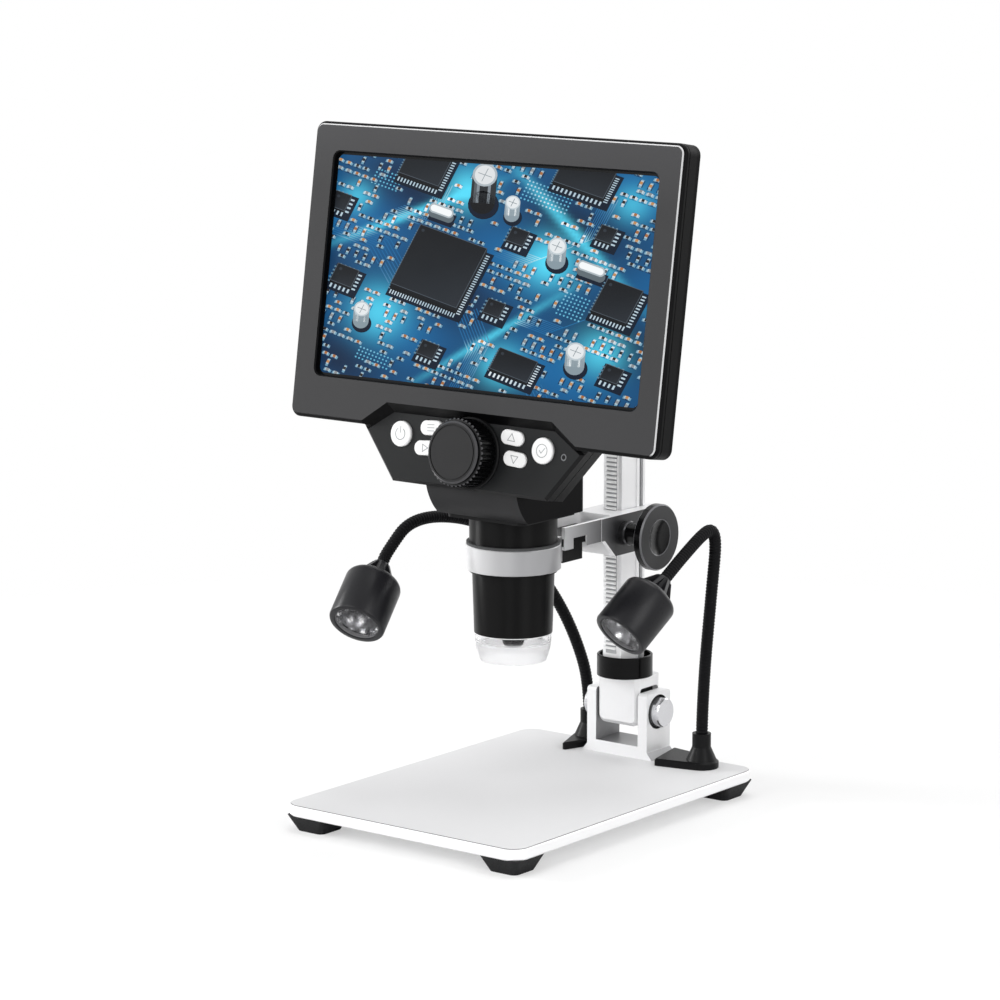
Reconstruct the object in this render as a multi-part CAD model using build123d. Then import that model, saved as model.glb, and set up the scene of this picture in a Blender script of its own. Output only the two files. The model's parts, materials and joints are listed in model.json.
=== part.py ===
"""Digital microscope with a 7-inch screen, a rack-and-pinion stand and two gooseneck lamps.

Millimetres, +Z up. The origin is on the ground under the middle of the stage plate.
The screen looks along -Y and X runs along the screen's width.
Heights whose names end in _height are measured from the top of the stage plate.
"""
from build123d import *
import math
import os

# ------------------------------------------------------------------ clearances
running_fit = 0.06      # radial play of a shaft in its bore
slide_fit = 0.15        # play of a flat slide on each side
free_gap = 0.3          # gap between neighbours that move past each other
joint_gap = 0.3         # gap between a gooseneck's ball end and its cup

# ------------------------------------------------------------------ stage
plate_width = 115.2
plate_depth = 158.8
plate_thickness = 4.6
plate_corner_radius = 7.0
plate_chamfer = 0.6
foot_top_side = 19.0
foot_bottom_side = 13.0
foot_height = 6.4
foot_corner_radius = 2.5
foot_inset = 0.8
foot_screw_radius = 1.5
foot_screw_bite = 3.0
foot_recess_radius = 3.3
foot_recess_depth = 2.6
screw_head_height = 1.8

# ------------------------------------------------------------------ tilt bracket and block
bracket_inner_width = 21.0
cheek_thickness = 4.5
cheek_height = 27.0
web_thickness = 5.0
flare_width = 2.5
flare_height = 3.0
bracket_depth = 16.4
bracket_rear_margin = 0.4
cheek_round = 1.6
pivot_height = 18.8
cheek_hole_radius = 7.1
cheek_hole_depth = 2.4
bolt_head_radius = 6.0
bolt_head_flats = 10.8
bolt_head_proud = 3.6
bolt_shank_radius = 3.0
bolt_reach = 7.0
bracket_screw_radius = 2.0
bracket_screw_pitch = 11.0
bracket_screw_bite = 4.0
bracket_head_radius = 3.6
bracket_head_depth = 2.4
block_bottom_height = 12.7
block_top_height = 33.0
block_round = 3.5
block_edge_chamfer = 1.6
block_pocket_width = 12.4
block_pocket_rise = 9.7
block_pocket_drop = 3.4
block_pocket_depth = 2.6
column_seat_depth = 6.0
tenon_front_wall = 1.6

# ------------------------------------------------------------------ column and rack
column_width = 9.0
column_depth = 16.0
column_rear_margin = 4.4
column_top_height = 224.0
column_flat_recess = 0.5
column_flat_length = 9.1
column_flat_from_front = 1.4
column_groove_depth = 1.3
column_groove_width = 2.4
column_groove_from_front = 12.2
collar_outer_radius = 11.4
collar_back = 1.0
collar_wall = 1.0
collar_floor = 1.6
collar_height = 8.8
rack_width = 5.2
rack_proud = 2.0
rack_seat = 1.0
rack_start_gap = 1.5
rack_end_margin = 3.0
tooth_pitch = 1.8
pressure_angle = 20.0
pinion_teeth = 14
pinion_width = 5.0
tooth_backlash = 0.22
cap_thickness = 2.6
cap_overhang = 0.8
cap_plug_depth = 1.0

# ------------------------------------------------------------------ carriage, arm and side knobs
arm_half_width = 10.0
arm_wall = 2.0
arm_top_height = 102.6
arm_bottom_height = 93.6
arm_front = 14.0
window_wall = 3.16         # between the arm's window and the bores of the shaft's bushes
arm_step_y = 38.0
arm_step = 0.3
carriage_bottom_height = 86.3
carriage_rear_wall = 4.0
carriage_slope = 7.3
window_corner_radius = 1.5
carriage_back_round = 2.0
pinion_centre_height = 95.0
pinion_cavity_gap = 0.5
shaft_radius = 2.0
bush_radius = 3.0
boss_radius = 5.0
boss_length = 3.0
knob_radius = 13.4
knob_rim = 3.8
knob_face_x = 27.3
knob_hub_radius = 4.6
knob_dish_radius = 7.5
knob_dish_depth = 1.6
knob_edge = 0.6
notch_from = 19.5
notch_to = 28.4
notch_top_height = 97.8
guide_depth = 1.0
tongue_bottom_height = 95.0
tongue_thickness = 2.9
tongue_end_gap = 2.4       # between the slide bar and the window's rear wall
slider_rear = 28.0
slider_bottom_height = 88.2
slider_front = 15.0
screw_wall = 6.0
holder_screw_share = 0.3

# ------------------------------------------------------------------ barrel and holder ring
barrel_y = -6.8
barrel_radius = 17.25
barrel_wall = 2.0
ring_wall = 0.75
liner_wall = 0.6
ring_bottom_height = 88.9
ring_depth = 9.9
liner_lip = 0.5
liner_lip_height = 1.0
lug_half_width = 7.6
holder_screw_radius = 1.25
holder_screw_pitch = 8.0
holder_screw_bite = 2.6
holder_head_radius = 2.3
barrel_step_height = 87.9
lower_barrel_top_radius = 16.15
lower_barrel_bottom_radius = 15.4
lower_barrel_wall = 1.6
lower_barrel_spigot = 3.0
nose_top_height = 63.7
nose_bottom_height = 52.6
nose_mouth_radius = 13.0
nose_waist_radius = 14.6
nose_waist_share = 0.45
nose_wall = 1.2
nose_spigot = 3.0
led_board_inner = 6.6
led_board_thickness = 1.2
led_count = 8
led_radius = 1.0
led_ring_radius = 9.6
led_drop = 0.8

# ------------------------------------------------------------------ lens group and focus drive
lens_tube_radius = 6.3
lens_tube_wall = 1.8
lens_front_height = 61.5
lens_flange_height = 84.0
lens_flange_thickness = 2.0
lens_glass_thickness = 1.6
sensor_side = 17.0
sensor_thickness = 1.2
stem_width = 3.0
stem_depth = 5.0
stem_rise = 4.0
focus_travel = 5.0
spindle_radius = 2.4
spindle_depth = 34.0

# ------------------------------------------------------------------ camera housing
chin_half_width = 22.0
chin_back = 11.0
chin_front_bottom = -26.2
chin_bottom_height = 111.4
chin_back_top_height = 142.0
chin_round = 3.0
chin_bulge = 1.3
chin_plate_thickness = 1.4
chin_plate_inset = 3.0
chin_plate_front_inset = 0.7
shaft_well_half_width = 9.0
shaft_well_front = -20.0
shaft_well_back = 5.0
shaft_well_top_height = 138.0

# ------------------------------------------------------------------ screen
screen_tilt = 8.86
screen_y = -27.33
screen_height = 204.94
housing_width = 178.0
housing_top = 55.6
housing_bottom = 61.2
housing_corner_radius = 4.2
housing_wall = 2.2
bezel_depth = 7.8
bezel_face = 2.2
bezel_round = 1.4
face_plate_inset = 1.0
face_plate_step = 0.5
face_plate_chamfer = 0.45
seam_depth = 2.9
seam_width = 0.35
bezel_side = 10.9
bezel_top = 11.65
opening_corner_radius = 3.0
opening_chamfer = 0.5
lcd_side_lap = 3.8
lcd_top_lap = 4.6
lcd_thickness = 3.4
board_width = 104.0
board_height = 62.0
board_thickness = 1.6
cover_thickness = 2.0
cover_bulge_half_width = 62.0
cover_bulge_top = 36.0
cover_bulge_bottom = 45.0
cover_bulge_depth = 10.2
cover_bulge_corner = 6.0
cover_round = 3.0
cover_pillar_radius = 3.0
vent_count = 9
vent_pitch = 5.0
vent_length = 22.0
vent_width = 1.8
vent_drop = 20.0
post_radius = 2.4
post_margin = 5.4
back_screw_radius = 1.2
back_screw_head = 2.2
back_screw_sink = 1.2
back_screw_bite = 4.4
cross_width = 0.6
cross_length = 2.8
cross_depth = 0.8
socket_width = 9.0
socket_height = 3.2
socket_length = 9.0
card_width = 14.0
card_height = 2.2
socket_spacing = 18.0

# ------------------------------------------------------------------ control pod
pod_recess = 4.0
pod_depth = 15.0
pod_top = -55.2
pod_top_half = 39.0
pod_middle = -63.0
pod_middle_half = 51.3
pod_bottom = -80.6
pod_bottom_half = 37.0
pod_edge = 1.2
pod_wall = 1.7
pod_face = 2.0
pod_back_thickness = 1.5
notch_rise = 3.6
notch_flare = 1.0
notch_side_flare = 8.3
notch_lip = 2.0
notch_lip_flare = 26.0
shoulder_drop = 1.2
pod_seam_depth = 9.2
button_board_depth = 9.5
button_board_thickness = 1.2
button_play = 0.25
button_proud = 1.0
button_flange = 0.5
button_flange_thickness = 0.9
button_travel = 0.5
switch_side = 4.0
switch_height = 1.6
round_button_radius = 5.0
pill_length = 10.7
pill_width = 5.7
pill_fan = 4.0
pillar_radius = 1.8
led_hole_radius = 1.4
led_hole_x = 44.0
led_hole_y = -64.5
focus_y = -67.3
focus_flange_radius = 14.2
focus_flange_thickness = 1.2
focus_gap = 0.3
focus_body_radius = 13.2
focus_body_depth = 8.4
focus_face_radius = 12.0
focus_face_depth = 1.8
focus_face_chamfer = 0.7
focus_ring_radius = 10.6
focus_ring_width = 0.4
flute_count = 42
flute_radius = 0.55

# name, centre x, centre y on the screen plane, shape, turn
BUTTONS = [
    ("power_button", -34.4, -63.2, "round", 0.0),
    ("menu_button", -19.6, -59.5, "pill", pill_fan),
    ("playback_button", -21.7, -67.5, "pill", pill_fan),
    ("up_button", 19.6, -59.5, "pill", -pill_fan),
    ("down_button", 21.7, -67.5, "pill", -pill_fan),
    ("ok_button", 34.4, -63.0, "round", 0.0),
]

# centres of the pillars that carry the button board
PILLARS = [(-31.0, -74.5), (31.0, -74.5), (-44.0, -63.5), (40.0, -60.0)]

# ------------------------------------------------------------------ gooseneck lamps
neck_radius = 2.3
ball_radius = 2.6
lamp_foot_thickness = 3.0
lamp_foot_radius = 7.0
lamp_cone_radius = 6.2
lamp_cone_height = 5.4
lamp_boss_radius = 3.8
lamp_boss_height = 14.0
lamp_radius = 10.7
lamp_length = 31.5
lamp_neck_radius = 3.1
lamp_neck_length = 1.8
lamp_cup_setback = 1.0
lamp_cone_end = 10.4
lamp_cone_end_radius = 6.6
lamp_rim_radius = 7.7
lamp_shoulder = 15.4
lamp_mouth_radius = 8.5
lamp_mouth_depth = 10.5
lamp_lens_thickness = 1.6
lamp_lens_inset = 0.8
lamp_reflector_wall = 0.8
lamp_led_hole = 2.2
fin_count = 4
fin_thickness = 2.2
fin_foot = 0.5

# The gooseneck routes: corner points as x, distance in front of the plate's rear edge and height
# above the plate. The middle joint lies at a share of the run from the last low to the first high point.
right_lamp = {
    "low": [(38.5, 11.6, 4.0), (38.5, 11.6, 28.0)],
    "high": [(40.3, 5.3, 91.4), (40.4, 8.1, 95.6), (40.6, 13.0, 96.9), (41.2, 41.3, 82.9)],
    "radii": [120.0, 6.0, 6.0, 6.0],
    "bend_share": 0.8,
    "axis": (-0.16, -0.76, -0.63),
    "toe": (23.2, 21.0), "heel": (18.9, 2.4),
}
left_lamp = {
    "low": [(-22.8, 4.6, 4.0), (-22.8, 4.6, 24.0), (-29.0, 5.6, 43.0), (-34.6, 12.9, 62.0),
            (-39.8, 31.4, 85.0), (-45.0, 55.4, 99.6)],
    "high": [(-51.4, 87.9, 100.5), (-52.7, 102.5, 87.2)],
    "radii": [48.0, 58.0, 58.0, 70.0, 45.0, 13.0],
    "bend_share": 0.58,
    "axis": (0.18, -0.74, -0.65),
    "toe": (-22.6, 21.8), "heel": (-19.6, 1.8),
}

# ------------------------------------------------------------------ derived places
stage_z = foot_height + plate_thickness
pivot_y = plate_depth / 2 - bracket_rear_margin - bracket_depth / 2
pivot_z = stage_z + pivot_height
column_y = plate_depth / 2 - column_rear_margin - column_depth / 2
column_front = column_y - column_depth / 2
rack_tip_y = column_front - rack_proud
tooth_module = tooth_pitch / math.pi
tooth_addendum = tooth_module
tooth_dedendum = 1.25 * tooth_module
pinion_pitch_radius = tooth_module * pinion_teeth / 2
pinion_y = rack_tip_y + tooth_addendum - pinion_pitch_radius
pinion_z = stage_z + pinion_centre_height
window_rear = pinion_y - bush_radius - window_wall
tongue_rear = window_rear - tongue_end_gap
cheek_outer = bracket_inner_width / 2 + cheek_thickness
collar_bottom_z = stage_z + block_top_height
collar_top_z = collar_bottom_z + collar_height
collar_y = column_y + collar_back
tenon_front = pivot_y - bracket_depth / 2 + tenon_front_wall
tenon_rear = column_y + column_depth / 2
column_top_z = stage_z + column_top_height
rack_bottom_z = collar_top_z + rack_start_gap
ring_inner_radius = barrel_radius + running_fit + liner_wall
ring_outer_radius = ring_inner_radius + ring_wall
ring_bottom_z = stage_z + ring_bottom_height
ring_top_z = ring_bottom_z + ring_depth
chin_bottom_z = stage_z + chin_bottom_height
chin_plate_z = chin_bottom_z - chin_plate_thickness
nose_top_z = stage_z + nose_top_height
nose_bottom_z = stage_z + nose_bottom_height
step_z = stage_z + barrel_step_height
barrel_inner = lower_barrel_bottom_radius - lower_barrel_wall
stem_top_height = shaft_well_top_height + stem_rise
holder_screw_z = ring_bottom_z + ring_depth * holder_screw_share
opening_width = housing_width - 2 * bezel_side
opening_height = 2 * (housing_top - bezel_top)
lcd_width = opening_width + 2 * lcd_side_lap
lcd_height = opening_height + 2 * lcd_top_lap
screen_plane = Plane(
    origin=(0, screen_y, stage_z + screen_height),
    x_dir=(1, 0, 0),
    z_dir=(0, -math.cos(math.radians(screen_tilt)), math.sin(math.radians(screen_tilt))),
)


# ------------------------------------------------------------------ small helpers
def save(shape, name):
    """Write one sub-part to its own file."""
    solids = shape.solids()
    shape = solids[0] if len(solids) == 1 else Compound(children=solids)
    export_step(shape, f"parts/{name}.step")


def on_screen(shape):
    """Move a shape drawn on the screen's own axes (x, up the screen, outwards) to its place."""
    return screen_plane.location * shape


def screen_point(up, out):
    """World (y, z) of a point on the screen's axes."""
    spot = screen_plane.from_local_coords(Vector(0, up, out))
    return (spot.Y, spot.Z)


def rod_x(radius, x0, x1, y, z):
    """Round bar along X from x0 to x1."""
    bar = Cylinder(radius, x1 - x0, align=(Align.CENTER, Align.CENTER, Align.MIN))
    return Pos(x0, y, z) * Rot(0, 90, 0) * bar


def rod_y(radius, y0, y1, x, z):
    """Round bar along Y from y0 to y1."""
    bar = Cylinder(radius, y1 - y0, align=(Align.CENTER, Align.CENTER, Align.MIN))
    return Pos(x, y0, z) * Rot(-90, 0, 0) * bar


def rod_z(radius, z0, z1, x=0.0, y=0.0):
    """Round bar along Z from z0 to z1."""
    return Pos(x, y, z0) * Cylinder(radius, z1 - z0, align=(Align.CENTER, Align.CENTER, Align.MIN))


def block(x0, x1, y0, y1, z0, z1):
    """Box between two corners."""
    return Pos((x0 + x1) / 2, (y0 + y1) / 2, (z0 + z1) / 2) * Box(x1 - x0, y1 - y0, z1 - z0)


def outline(points):
    """Closed face through points on the XY plane."""
    return make_face(Polyline(*points, close=True))


def prism(face, z0, z1):
    """Extrude a face drawn on XY from z0 to z1."""
    return extrude(Pos(0, 0, z0) * face, amount=z1 - z0)


def side_prism(points, half_width):
    """Extrude an outline given as (y, z) points over x = -half_width .. half_width."""
    face = make_face(Polyline(*[(0, y, z) for y, z in points], close=True))
    return extrude(face, amount=half_width, dir=(1, 0, 0), both=True)


def turned(profile, z_axis_y=0.0):
    """Revolve (radius, z) points about a vertical axis at y = z_axis_y."""
    face = make_face(Polyline(*[(r, 0, z) for r, z in profile], close=True))
    return Pos(0, z_axis_y, 0) * revolve(face, Axis.Z)


def cross_recess(z, x, y):
    """Cross-shaped driver recess in a screw head whose face is at z."""
    bar = Box(cross_length, cross_width, 2 * cross_depth) + Box(cross_width, cross_length, 2 * cross_depth)
    return Pos(x, y, z) * Rot(0, 0, 45) * bar


# ------------------------------------------------------------------ stage
def foot_centres():
    """Centres of the four rubber feet."""
    reach_x = plate_width / 2 - foot_inset - foot_top_side / 2
    reach_y = plate_depth / 2 - foot_inset - foot_top_side / 2
    return [(sx * reach_x, sy * reach_y) for sx in (-1, 1) for sy in (-1, 1)]


def bracket_screw_places():
    """Centres of the two screws that hold the bracket's web."""
    return [(sx * bracket_screw_pitch / 2, pivot_y) for sx in (-1, 1)]


def make_base_plate():
    plate = prism(RectangleRounded(plate_width, plate_depth, plate_corner_radius), foot_height, stage_z)
    rims = plate.edges().group_by(Axis.Z)
    plate = chamfer(rims[0] + rims[-1], plate_chamfer)
    for x, y in foot_centres():
        plate -= rod_z(foot_screw_radius, foot_height, foot_height + foot_screw_bite, x, y)
    for x, y in bracket_screw_places():
        plate -= rod_z(bracket_screw_radius, foot_height, stage_z, x, y)
        plate -= rod_z(bracket_head_radius, foot_height, foot_height + bracket_head_depth, x, y)
    return plate


def make_feet():
    feet = []
    for x, y in foot_centres():
        lower = RectangleRounded(foot_bottom_side, foot_bottom_side, foot_corner_radius)
        upper = Pos(0, 0, foot_height) * RectangleRounded(foot_top_side, foot_top_side, foot_corner_radius)
        foot = loft([lower, upper])
        foot -= rod_z(foot_recess_radius, 0, foot_recess_depth)
        foot -= rod_z(foot_screw_radius, 0, foot_height)
        feet.append(Pos(x, y, 0) * foot)
    return Compound(children=[s for foot in feet for s in foot.solids()])


def make_base_screws():
    screws = []
    for x, y in foot_centres():
        head = foot_recess_depth - screw_head_height
        screw = rod_z(foot_recess_radius - free_gap, head, foot_recess_depth, x, y) - cross_recess(head, x, y)
        screws.append(screw + rod_z(foot_screw_radius, foot_recess_depth, foot_height + foot_screw_bite, x, y))
    for x, y in bracket_screw_places():
        seat = foot_height + bracket_head_depth
        screw = rod_z(bracket_head_radius, seat - screw_head_height, seat, x, y)
        screw -= cross_recess(seat - screw_head_height, x, y)
        screws.append(screw + rod_z(bracket_screw_radius, seat, stage_z + bracket_screw_bite, x, y))
    return Compound(children=[s for screw in screws for s in screw.solids()])


def make_tilt_bracket():
    inner = bracket_inner_width / 2
    foot = cheek_outer + flare_width
    points = [(-foot, 0), (foot, 0), (cheek_outer, flare_height), (cheek_outer, cheek_height),
              (inner, cheek_height), (inner, web_thickness), (-inner, web_thickness),
              (-inner, cheek_height), (-cheek_outer, cheek_height), (-cheek_outer, flare_height)]
    face = make_face(Polyline(*[(x, pivot_y, stage_z + z) for x, z in points], close=True))
    bracket = extrude(face, amount=bracket_depth / 2, dir=(0, 1, 0), both=True)
    top = bracket.edges().filter_by(Axis.X).group_by(Axis.Z)[-1]
    bracket = fillet(top, cheek_round)
    for side in (-1, 1):
        floor_x = cheek_outer - cheek_hole_depth
        ends = sorted((side * floor_x, side * (cheek_outer + 1)))
        bracket -= rod_x(cheek_hole_radius, ends[0], ends[1], pivot_y, pivot_z)
        bore = sorted((side * (inner - 1), side * (cheek_outer + 1)))
        bracket -= rod_x(bolt_shank_radius, bore[0], bore[1], pivot_y, pivot_z)
    for x, y in bracket_screw_places():
        bracket -= rod_z(bracket_screw_radius, stage_z, stage_z + bracket_screw_bite, x, y)
    return bracket


def make_pivot_bolts():
    bolts = []
    floor_x = cheek_outer - cheek_hole_depth
    head_length = cheek_hole_depth + bolt_head_proud
    head = rod_x(bolt_head_radius, 0, head_length, 0, 0)
    head = chamfer(head.edges().group_by(Axis.X)[-1], 0.5)
    head &= Rot(25, 0, 0) * block(-1, head_length + 1, -bolt_head_radius, bolt_head_radius,
                                  -bolt_head_flats / 2, bolt_head_flats / 2)
    tip = bracket_inner_width / 2 - bolt_reach
    bolt = Pos(floor_x, 0, 0) * head + rod_x(bolt_shank_radius, tip, floor_x, 0, 0)
    for side in (0, 180):
        bolts.append(Pos(0, pivot_y, pivot_z) * Rot(0, 0, side) * bolt)
    return Compound(children=[s for bolt in bolts for s in bolt.solids()])


# ------------------------------------------------------------------ tilting column
def column_section(grow=0.0):
    """The plain rectangle of the column, grown by a clearance."""
    return Pos(0, column_y) * Rectangle(column_width + 2 * grow, column_depth + 2 * grow)


def column_tenon():
    """Section of the column's lower end, cut back behind the block's front wall."""
    middle = (tenon_front + tenon_rear) / 2
    return Pos(0, middle) * Rectangle(column_width, tenon_rear - tenon_front)


def make_tilt_block():
    half = bracket_inner_width / 2 - free_gap
    y0, y1 = pivot_y - bracket_depth / 2, pivot_y + bracket_depth / 2
    body = block(-half, half, y0, y1, stage_z + block_bottom_height, stage_z + block_top_height)
    bottom = body.edges().group_by(Axis.Z)[0]
    body = fillet(bottom.filter_by(Axis.Y), block_round)
    low = body.edges().filter_by(Axis.X).group_by(Axis.Z)[0]
    body = chamfer(low, block_edge_chamfer)
    tall = block_pocket_rise + block_pocket_drop
    pocket = Plane.YZ * RectangleRounded(block_pocket_width, tall, 1.5)
    middle_z = pivot_z + (block_pocket_rise - block_pocket_drop) / 2
    for side in (-1, 1):
        cut = extrude(Pos(side * half, pivot_y, middle_z) * pocket, amount=block_pocket_depth, both=True)
        body -= cut
        bore = sorted((side * (bracket_inner_width / 2 - bolt_reach - free_gap), side * (half + 1)))
        body -= rod_x(bolt_shank_radius + running_fit, bore[0], bore[1], pivot_y, pivot_z)
    seat_z = stage_z + block_top_height - column_seat_depth
    body -= prism(column_tenon(), seat_z, collar_bottom_z + 1)
    return body


def make_collar():
    cup = rod_z(collar_outer_radius, collar_bottom_z, collar_top_z, 0, collar_y)
    inner = collar_outer_radius - collar_wall
    cup -= rod_z(inner, collar_bottom_z + collar_floor, collar_top_z + 1, 0, collar_y)
    rims = cup.edges().filter_by(GeomType.CIRCLE).group_by(Axis.Z)[-1]
    cup = chamfer(rims, collar_wall * 0.3)
    return cup - prism(column_tenon(), collar_bottom_z - 1, collar_bottom_z + collar_floor + 1)


def make_column():
    section = column_section()
    half = column_width / 2
    flat_y = column_front + column_flat_from_front + column_flat_length / 2
    groove_y = column_front + column_groove_from_front + column_groove_width / 2
    for side in (-1, 1):
        section -= Pos(side * half, flat_y) * Rectangle(2 * column_flat_recess, column_flat_length)
        section -= Pos(side * half, groove_y) * Rectangle(2 * column_groove_depth, column_groove_width)
    foot_z = collar_bottom_z + collar_floor
    column = prism(section, foot_z, column_top_z)
    column += prism(column_tenon(), collar_bottom_z - column_seat_depth, foot_z)
    slot = block(-rack_width / 2, rack_width / 2, column_front - 1, column_front + rack_seat,
                 rack_bottom_z, column_top_z - rack_end_margin)
    return column - slot


def make_rack():
    """Straight gear rack: trapezoid teeth that point to -Y."""
    bottom, top = rack_bottom_z, column_top_z - rack_end_margin
    lean = math.tan(math.radians(pressure_angle))
    tip_half = tooth_pitch / 4 - tooth_addendum * lean
    root_half = tooth_pitch / 4 + tooth_dedendum * lean
    root_y = rack_tip_y + tooth_addendum + tooth_dedendum
    back_y = column_front + rack_seat
    points = [(back_y, bottom), (root_y, bottom)]
    first = math.ceil((bottom + root_half - pinion_z) / tooth_pitch - 0.5)
    last = math.floor((top - root_half - pinion_z) / tooth_pitch - 0.5)
    for number in range(first, last + 1):
        middle = pinion_z + (number + 0.5) * tooth_pitch
        points += [(root_y, middle - root_half), (rack_tip_y, middle - tip_half),
                   (rack_tip_y, middle + tip_half), (root_y, middle + root_half)]
    points += [(root_y, top), (back_y, top)]
    return side_prism(points, rack_width / 2)


def make_column_cap():
    outer = Pos(0, column_y) * RectangleRounded(column_width + 2 * cap_overhang,
                                                column_depth + 2 * cap_overhang, 1.5)
    cap = prism(outer, column_top_z, column_top_z + cap_thickness)
    return chamfer(cap.edges().group_by(Axis.Z)[-1], 0.6)


# ------------------------------------------------------------------ carriage and arm
def carriage_profile():
    """Side view (y, z) of carriage block and arm together."""
    bottom = stage_z + arm_bottom_height
    low = stage_z + carriage_bottom_height
    top = stage_z + arm_top_height
    rear = column_y + column_depth / 2 + carriage_rear_wall
    return [(arm_front, bottom), (arm_front, top), (rear, top), (rear, low),
            (window_rear, low), (window_rear - carriage_slope, bottom)]


def arm_channel():
    """The open window between the walls, with the grooves that guide the tongue."""
    low = stage_z + carriage_bottom_height - 1
    top = stage_z + arm_top_height + 1
    inner = arm_half_width - arm_wall
    channel = block(-inner, inner, arm_front - 1, window_rear, low, top)
    channel = fillet(channel.edges().filter_by(Axis.Z).group_by(Axis.Y)[-1], window_corner_radius)
    groove = inner + guide_depth
    groove_z = stage_z + tongue_bottom_height - slide_fit
    groove_top = stage_z + tongue_bottom_height + tongue_thickness + slide_fit
    return channel + block(-groove, groove, arm_front - 1, tongue_rear + 1, groove_z, groove_top)


def make_carriage():
    """Carriage on the column and the open arm in front of it, in one piece."""
    top = stage_z + arm_top_height
    low = stage_z + carriage_bottom_height
    body = side_prism(carriage_profile(), arm_half_width)
    back_corners = body.edges().filter_by(Axis.Z).group_by(Axis.Y)[-1]
    body = fillet(back_corners, carriage_back_round)
    body -= arm_channel()
    wide = 2 * arm_half_width
    body -= block(-wide, wide, notch_from, notch_to, low - 1, stage_z + notch_top_height)
    for side in (-1, 1):
        ends = sorted((side * (arm_half_width - arm_step), side * (arm_half_width + 1)))
        body -= block(ends[0], ends[1], arm_front - 1, arm_step_y, low - 1, top + 1)
    body -= prism(column_section(slide_fit), low - 1, top + 1)
    body -= block(-rack_width / 2 - free_gap, rack_width / 2 + free_gap,
                  rack_tip_y - free_gap, column_y, low - 1, top + 1)
    cavity = pinion_pitch_radius + tooth_addendum + pinion_cavity_gap
    body -= rod_x(cavity, -pinion_width / 2 - free_gap, pinion_width / 2 + free_gap, pinion_y, pinion_z)
    body -= rod_x(bush_radius, -wide, wide, pinion_y, pinion_z)
    return body


def make_bushes():
    inner = pinion_width / 2 + 2 * free_gap
    bush = rod_x(bush_radius, inner, arm_half_width, 0, 0)
    flange = rod_x(boss_radius, arm_half_width, arm_half_width + boss_length, 0, 0)
    bush += chamfer(flange.edges().group_by(Axis.X)[-1], 0.5)
    bush -= rod_x(shaft_radius + running_fit, 0, 2 * arm_half_width, 0, 0)
    pair = [Pos(0, pinion_y, pinion_z) * Rot(0, 0, turn) * bush for turn in (0, 180)]
    return Compound(children=[s for part in pair for s in part.solids()])


def make_pinion():
    """Involute pinion; one gap faces the rack tooth level with the axis."""
    base = pinion_pitch_radius * math.cos(math.radians(pressure_angle))
    tip = pinion_pitch_radius + 0.9 * tooth_addendum
    root = pinion_pitch_radius - tooth_dedendum

    def involute(angle):
        return math.tan(angle) - angle

    half_pitch_angle = (tooth_pitch / 2 - tooth_backlash) / 2 / pinion_pitch_radius
    at_pitch = involute(math.radians(pressure_angle))
    flank = []
    for step in range(4):
        radius = max(base, root) + (tip - max(base, root)) * step / 3
        swing = half_pitch_angle + at_pitch - involute(math.acos(min(1.0, base / radius)))
        flank.append((radius, swing))
    points = []
    for number in range(pinion_teeth):
        middle = 2 * math.pi * number / pinion_teeth
        points.append((root, middle - flank[0][1]))
        points += [(radius, middle - swing) for radius, swing in flank]
        points += [(radius, middle + swing) for radius, swing in reversed(flank)]
        points.append((root, middle + flank[0][1]))
    face = make_face(Polyline(*[(0, r * math.cos(a), r * math.sin(a)) for r, a in points], close=True))
    gear = extrude(face, amount=pinion_width / 2, dir=(1, 0, 0), both=True)
    gear -= rod_x(shaft_radius, -pinion_width, pinion_width, 0, 0)
    return Pos(0, pinion_y, pinion_z) * gear


def make_pinion_shaft():
    reach = knob_face_x - knob_rim + 1.5
    return rod_x(shaft_radius, -reach, reach, pinion_y, pinion_z)


def make_rack_knob(side):
    """Disc knob with a finger dish and a hub that runs up to the bush flange."""
    rim_back = knob_face_x - knob_rim
    hub_start = arm_half_width + boss_length + free_gap
    knob = rod_x(knob_radius, rim_back, knob_face_x, 0, 0)
    knob = chamfer(knob.edges().filter_by(GeomType.CIRCLE), knob_edge)
    knob += rod_x(knob_hub_radius, hub_start, rim_back, 0, 0)
    ball = (knob_dish_radius ** 2 + knob_dish_depth ** 2) / (2 * knob_dish_depth)
    knob -= Pos(knob_face_x - knob_dish_depth + ball, 0, 0) * Sphere(ball)
    knob -= rod_x(shaft_radius, 0, rim_back + 1.5, 0, 0)
    return Pos(0, pinion_y, pinion_z) * Rot(0, 0, 0 if side > 0 else 180) * knob


# ------------------------------------------------------------------ sliding holder
def make_slide_bar():
    inner = arm_half_width - arm_wall
    tongue_z = stage_z + tongue_bottom_height
    tongue_half = inner + guide_depth - slide_fit
    bar = block(-tongue_half, tongue_half, slider_front, tongue_rear, tongue_z, tongue_z + tongue_thickness)
    bar += block(-inner + free_gap, inner - free_gap, slider_front, slider_rear,
                 stage_z + slider_bottom_height, tongue_z)
    for x in (-holder_screw_pitch / 2, holder_screw_pitch / 2):
        bar -= rod_y(holder_screw_radius, slider_front - 1, slider_rear + 1, x, holder_screw_z)
        bar -= rod_y(holder_head_radius, slider_front + screw_wall, slider_rear + 1, x, holder_screw_z)
    return bar


def make_holder_screws():
    screws = []
    for x in (-holder_screw_pitch / 2, holder_screw_pitch / 2):
        seat = slider_front + screw_wall
        tall = screw_head_height
        screw = rod_y(holder_screw_radius, slider_front - holder_screw_bite, seat, x, holder_screw_z)
        screw += rod_y(holder_head_radius - free_gap / 3, seat, seat + tall, x, holder_screw_z)
        socket = extrude(RegularPolygon(holder_screw_radius, 6), amount=tall)
        screws.append(screw - Pos(x, seat + tall / 2, holder_screw_z) * Rot(-90, 0, 0) * socket)
    return Compound(children=[s for screw in screws for s in screw.solids()])


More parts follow.
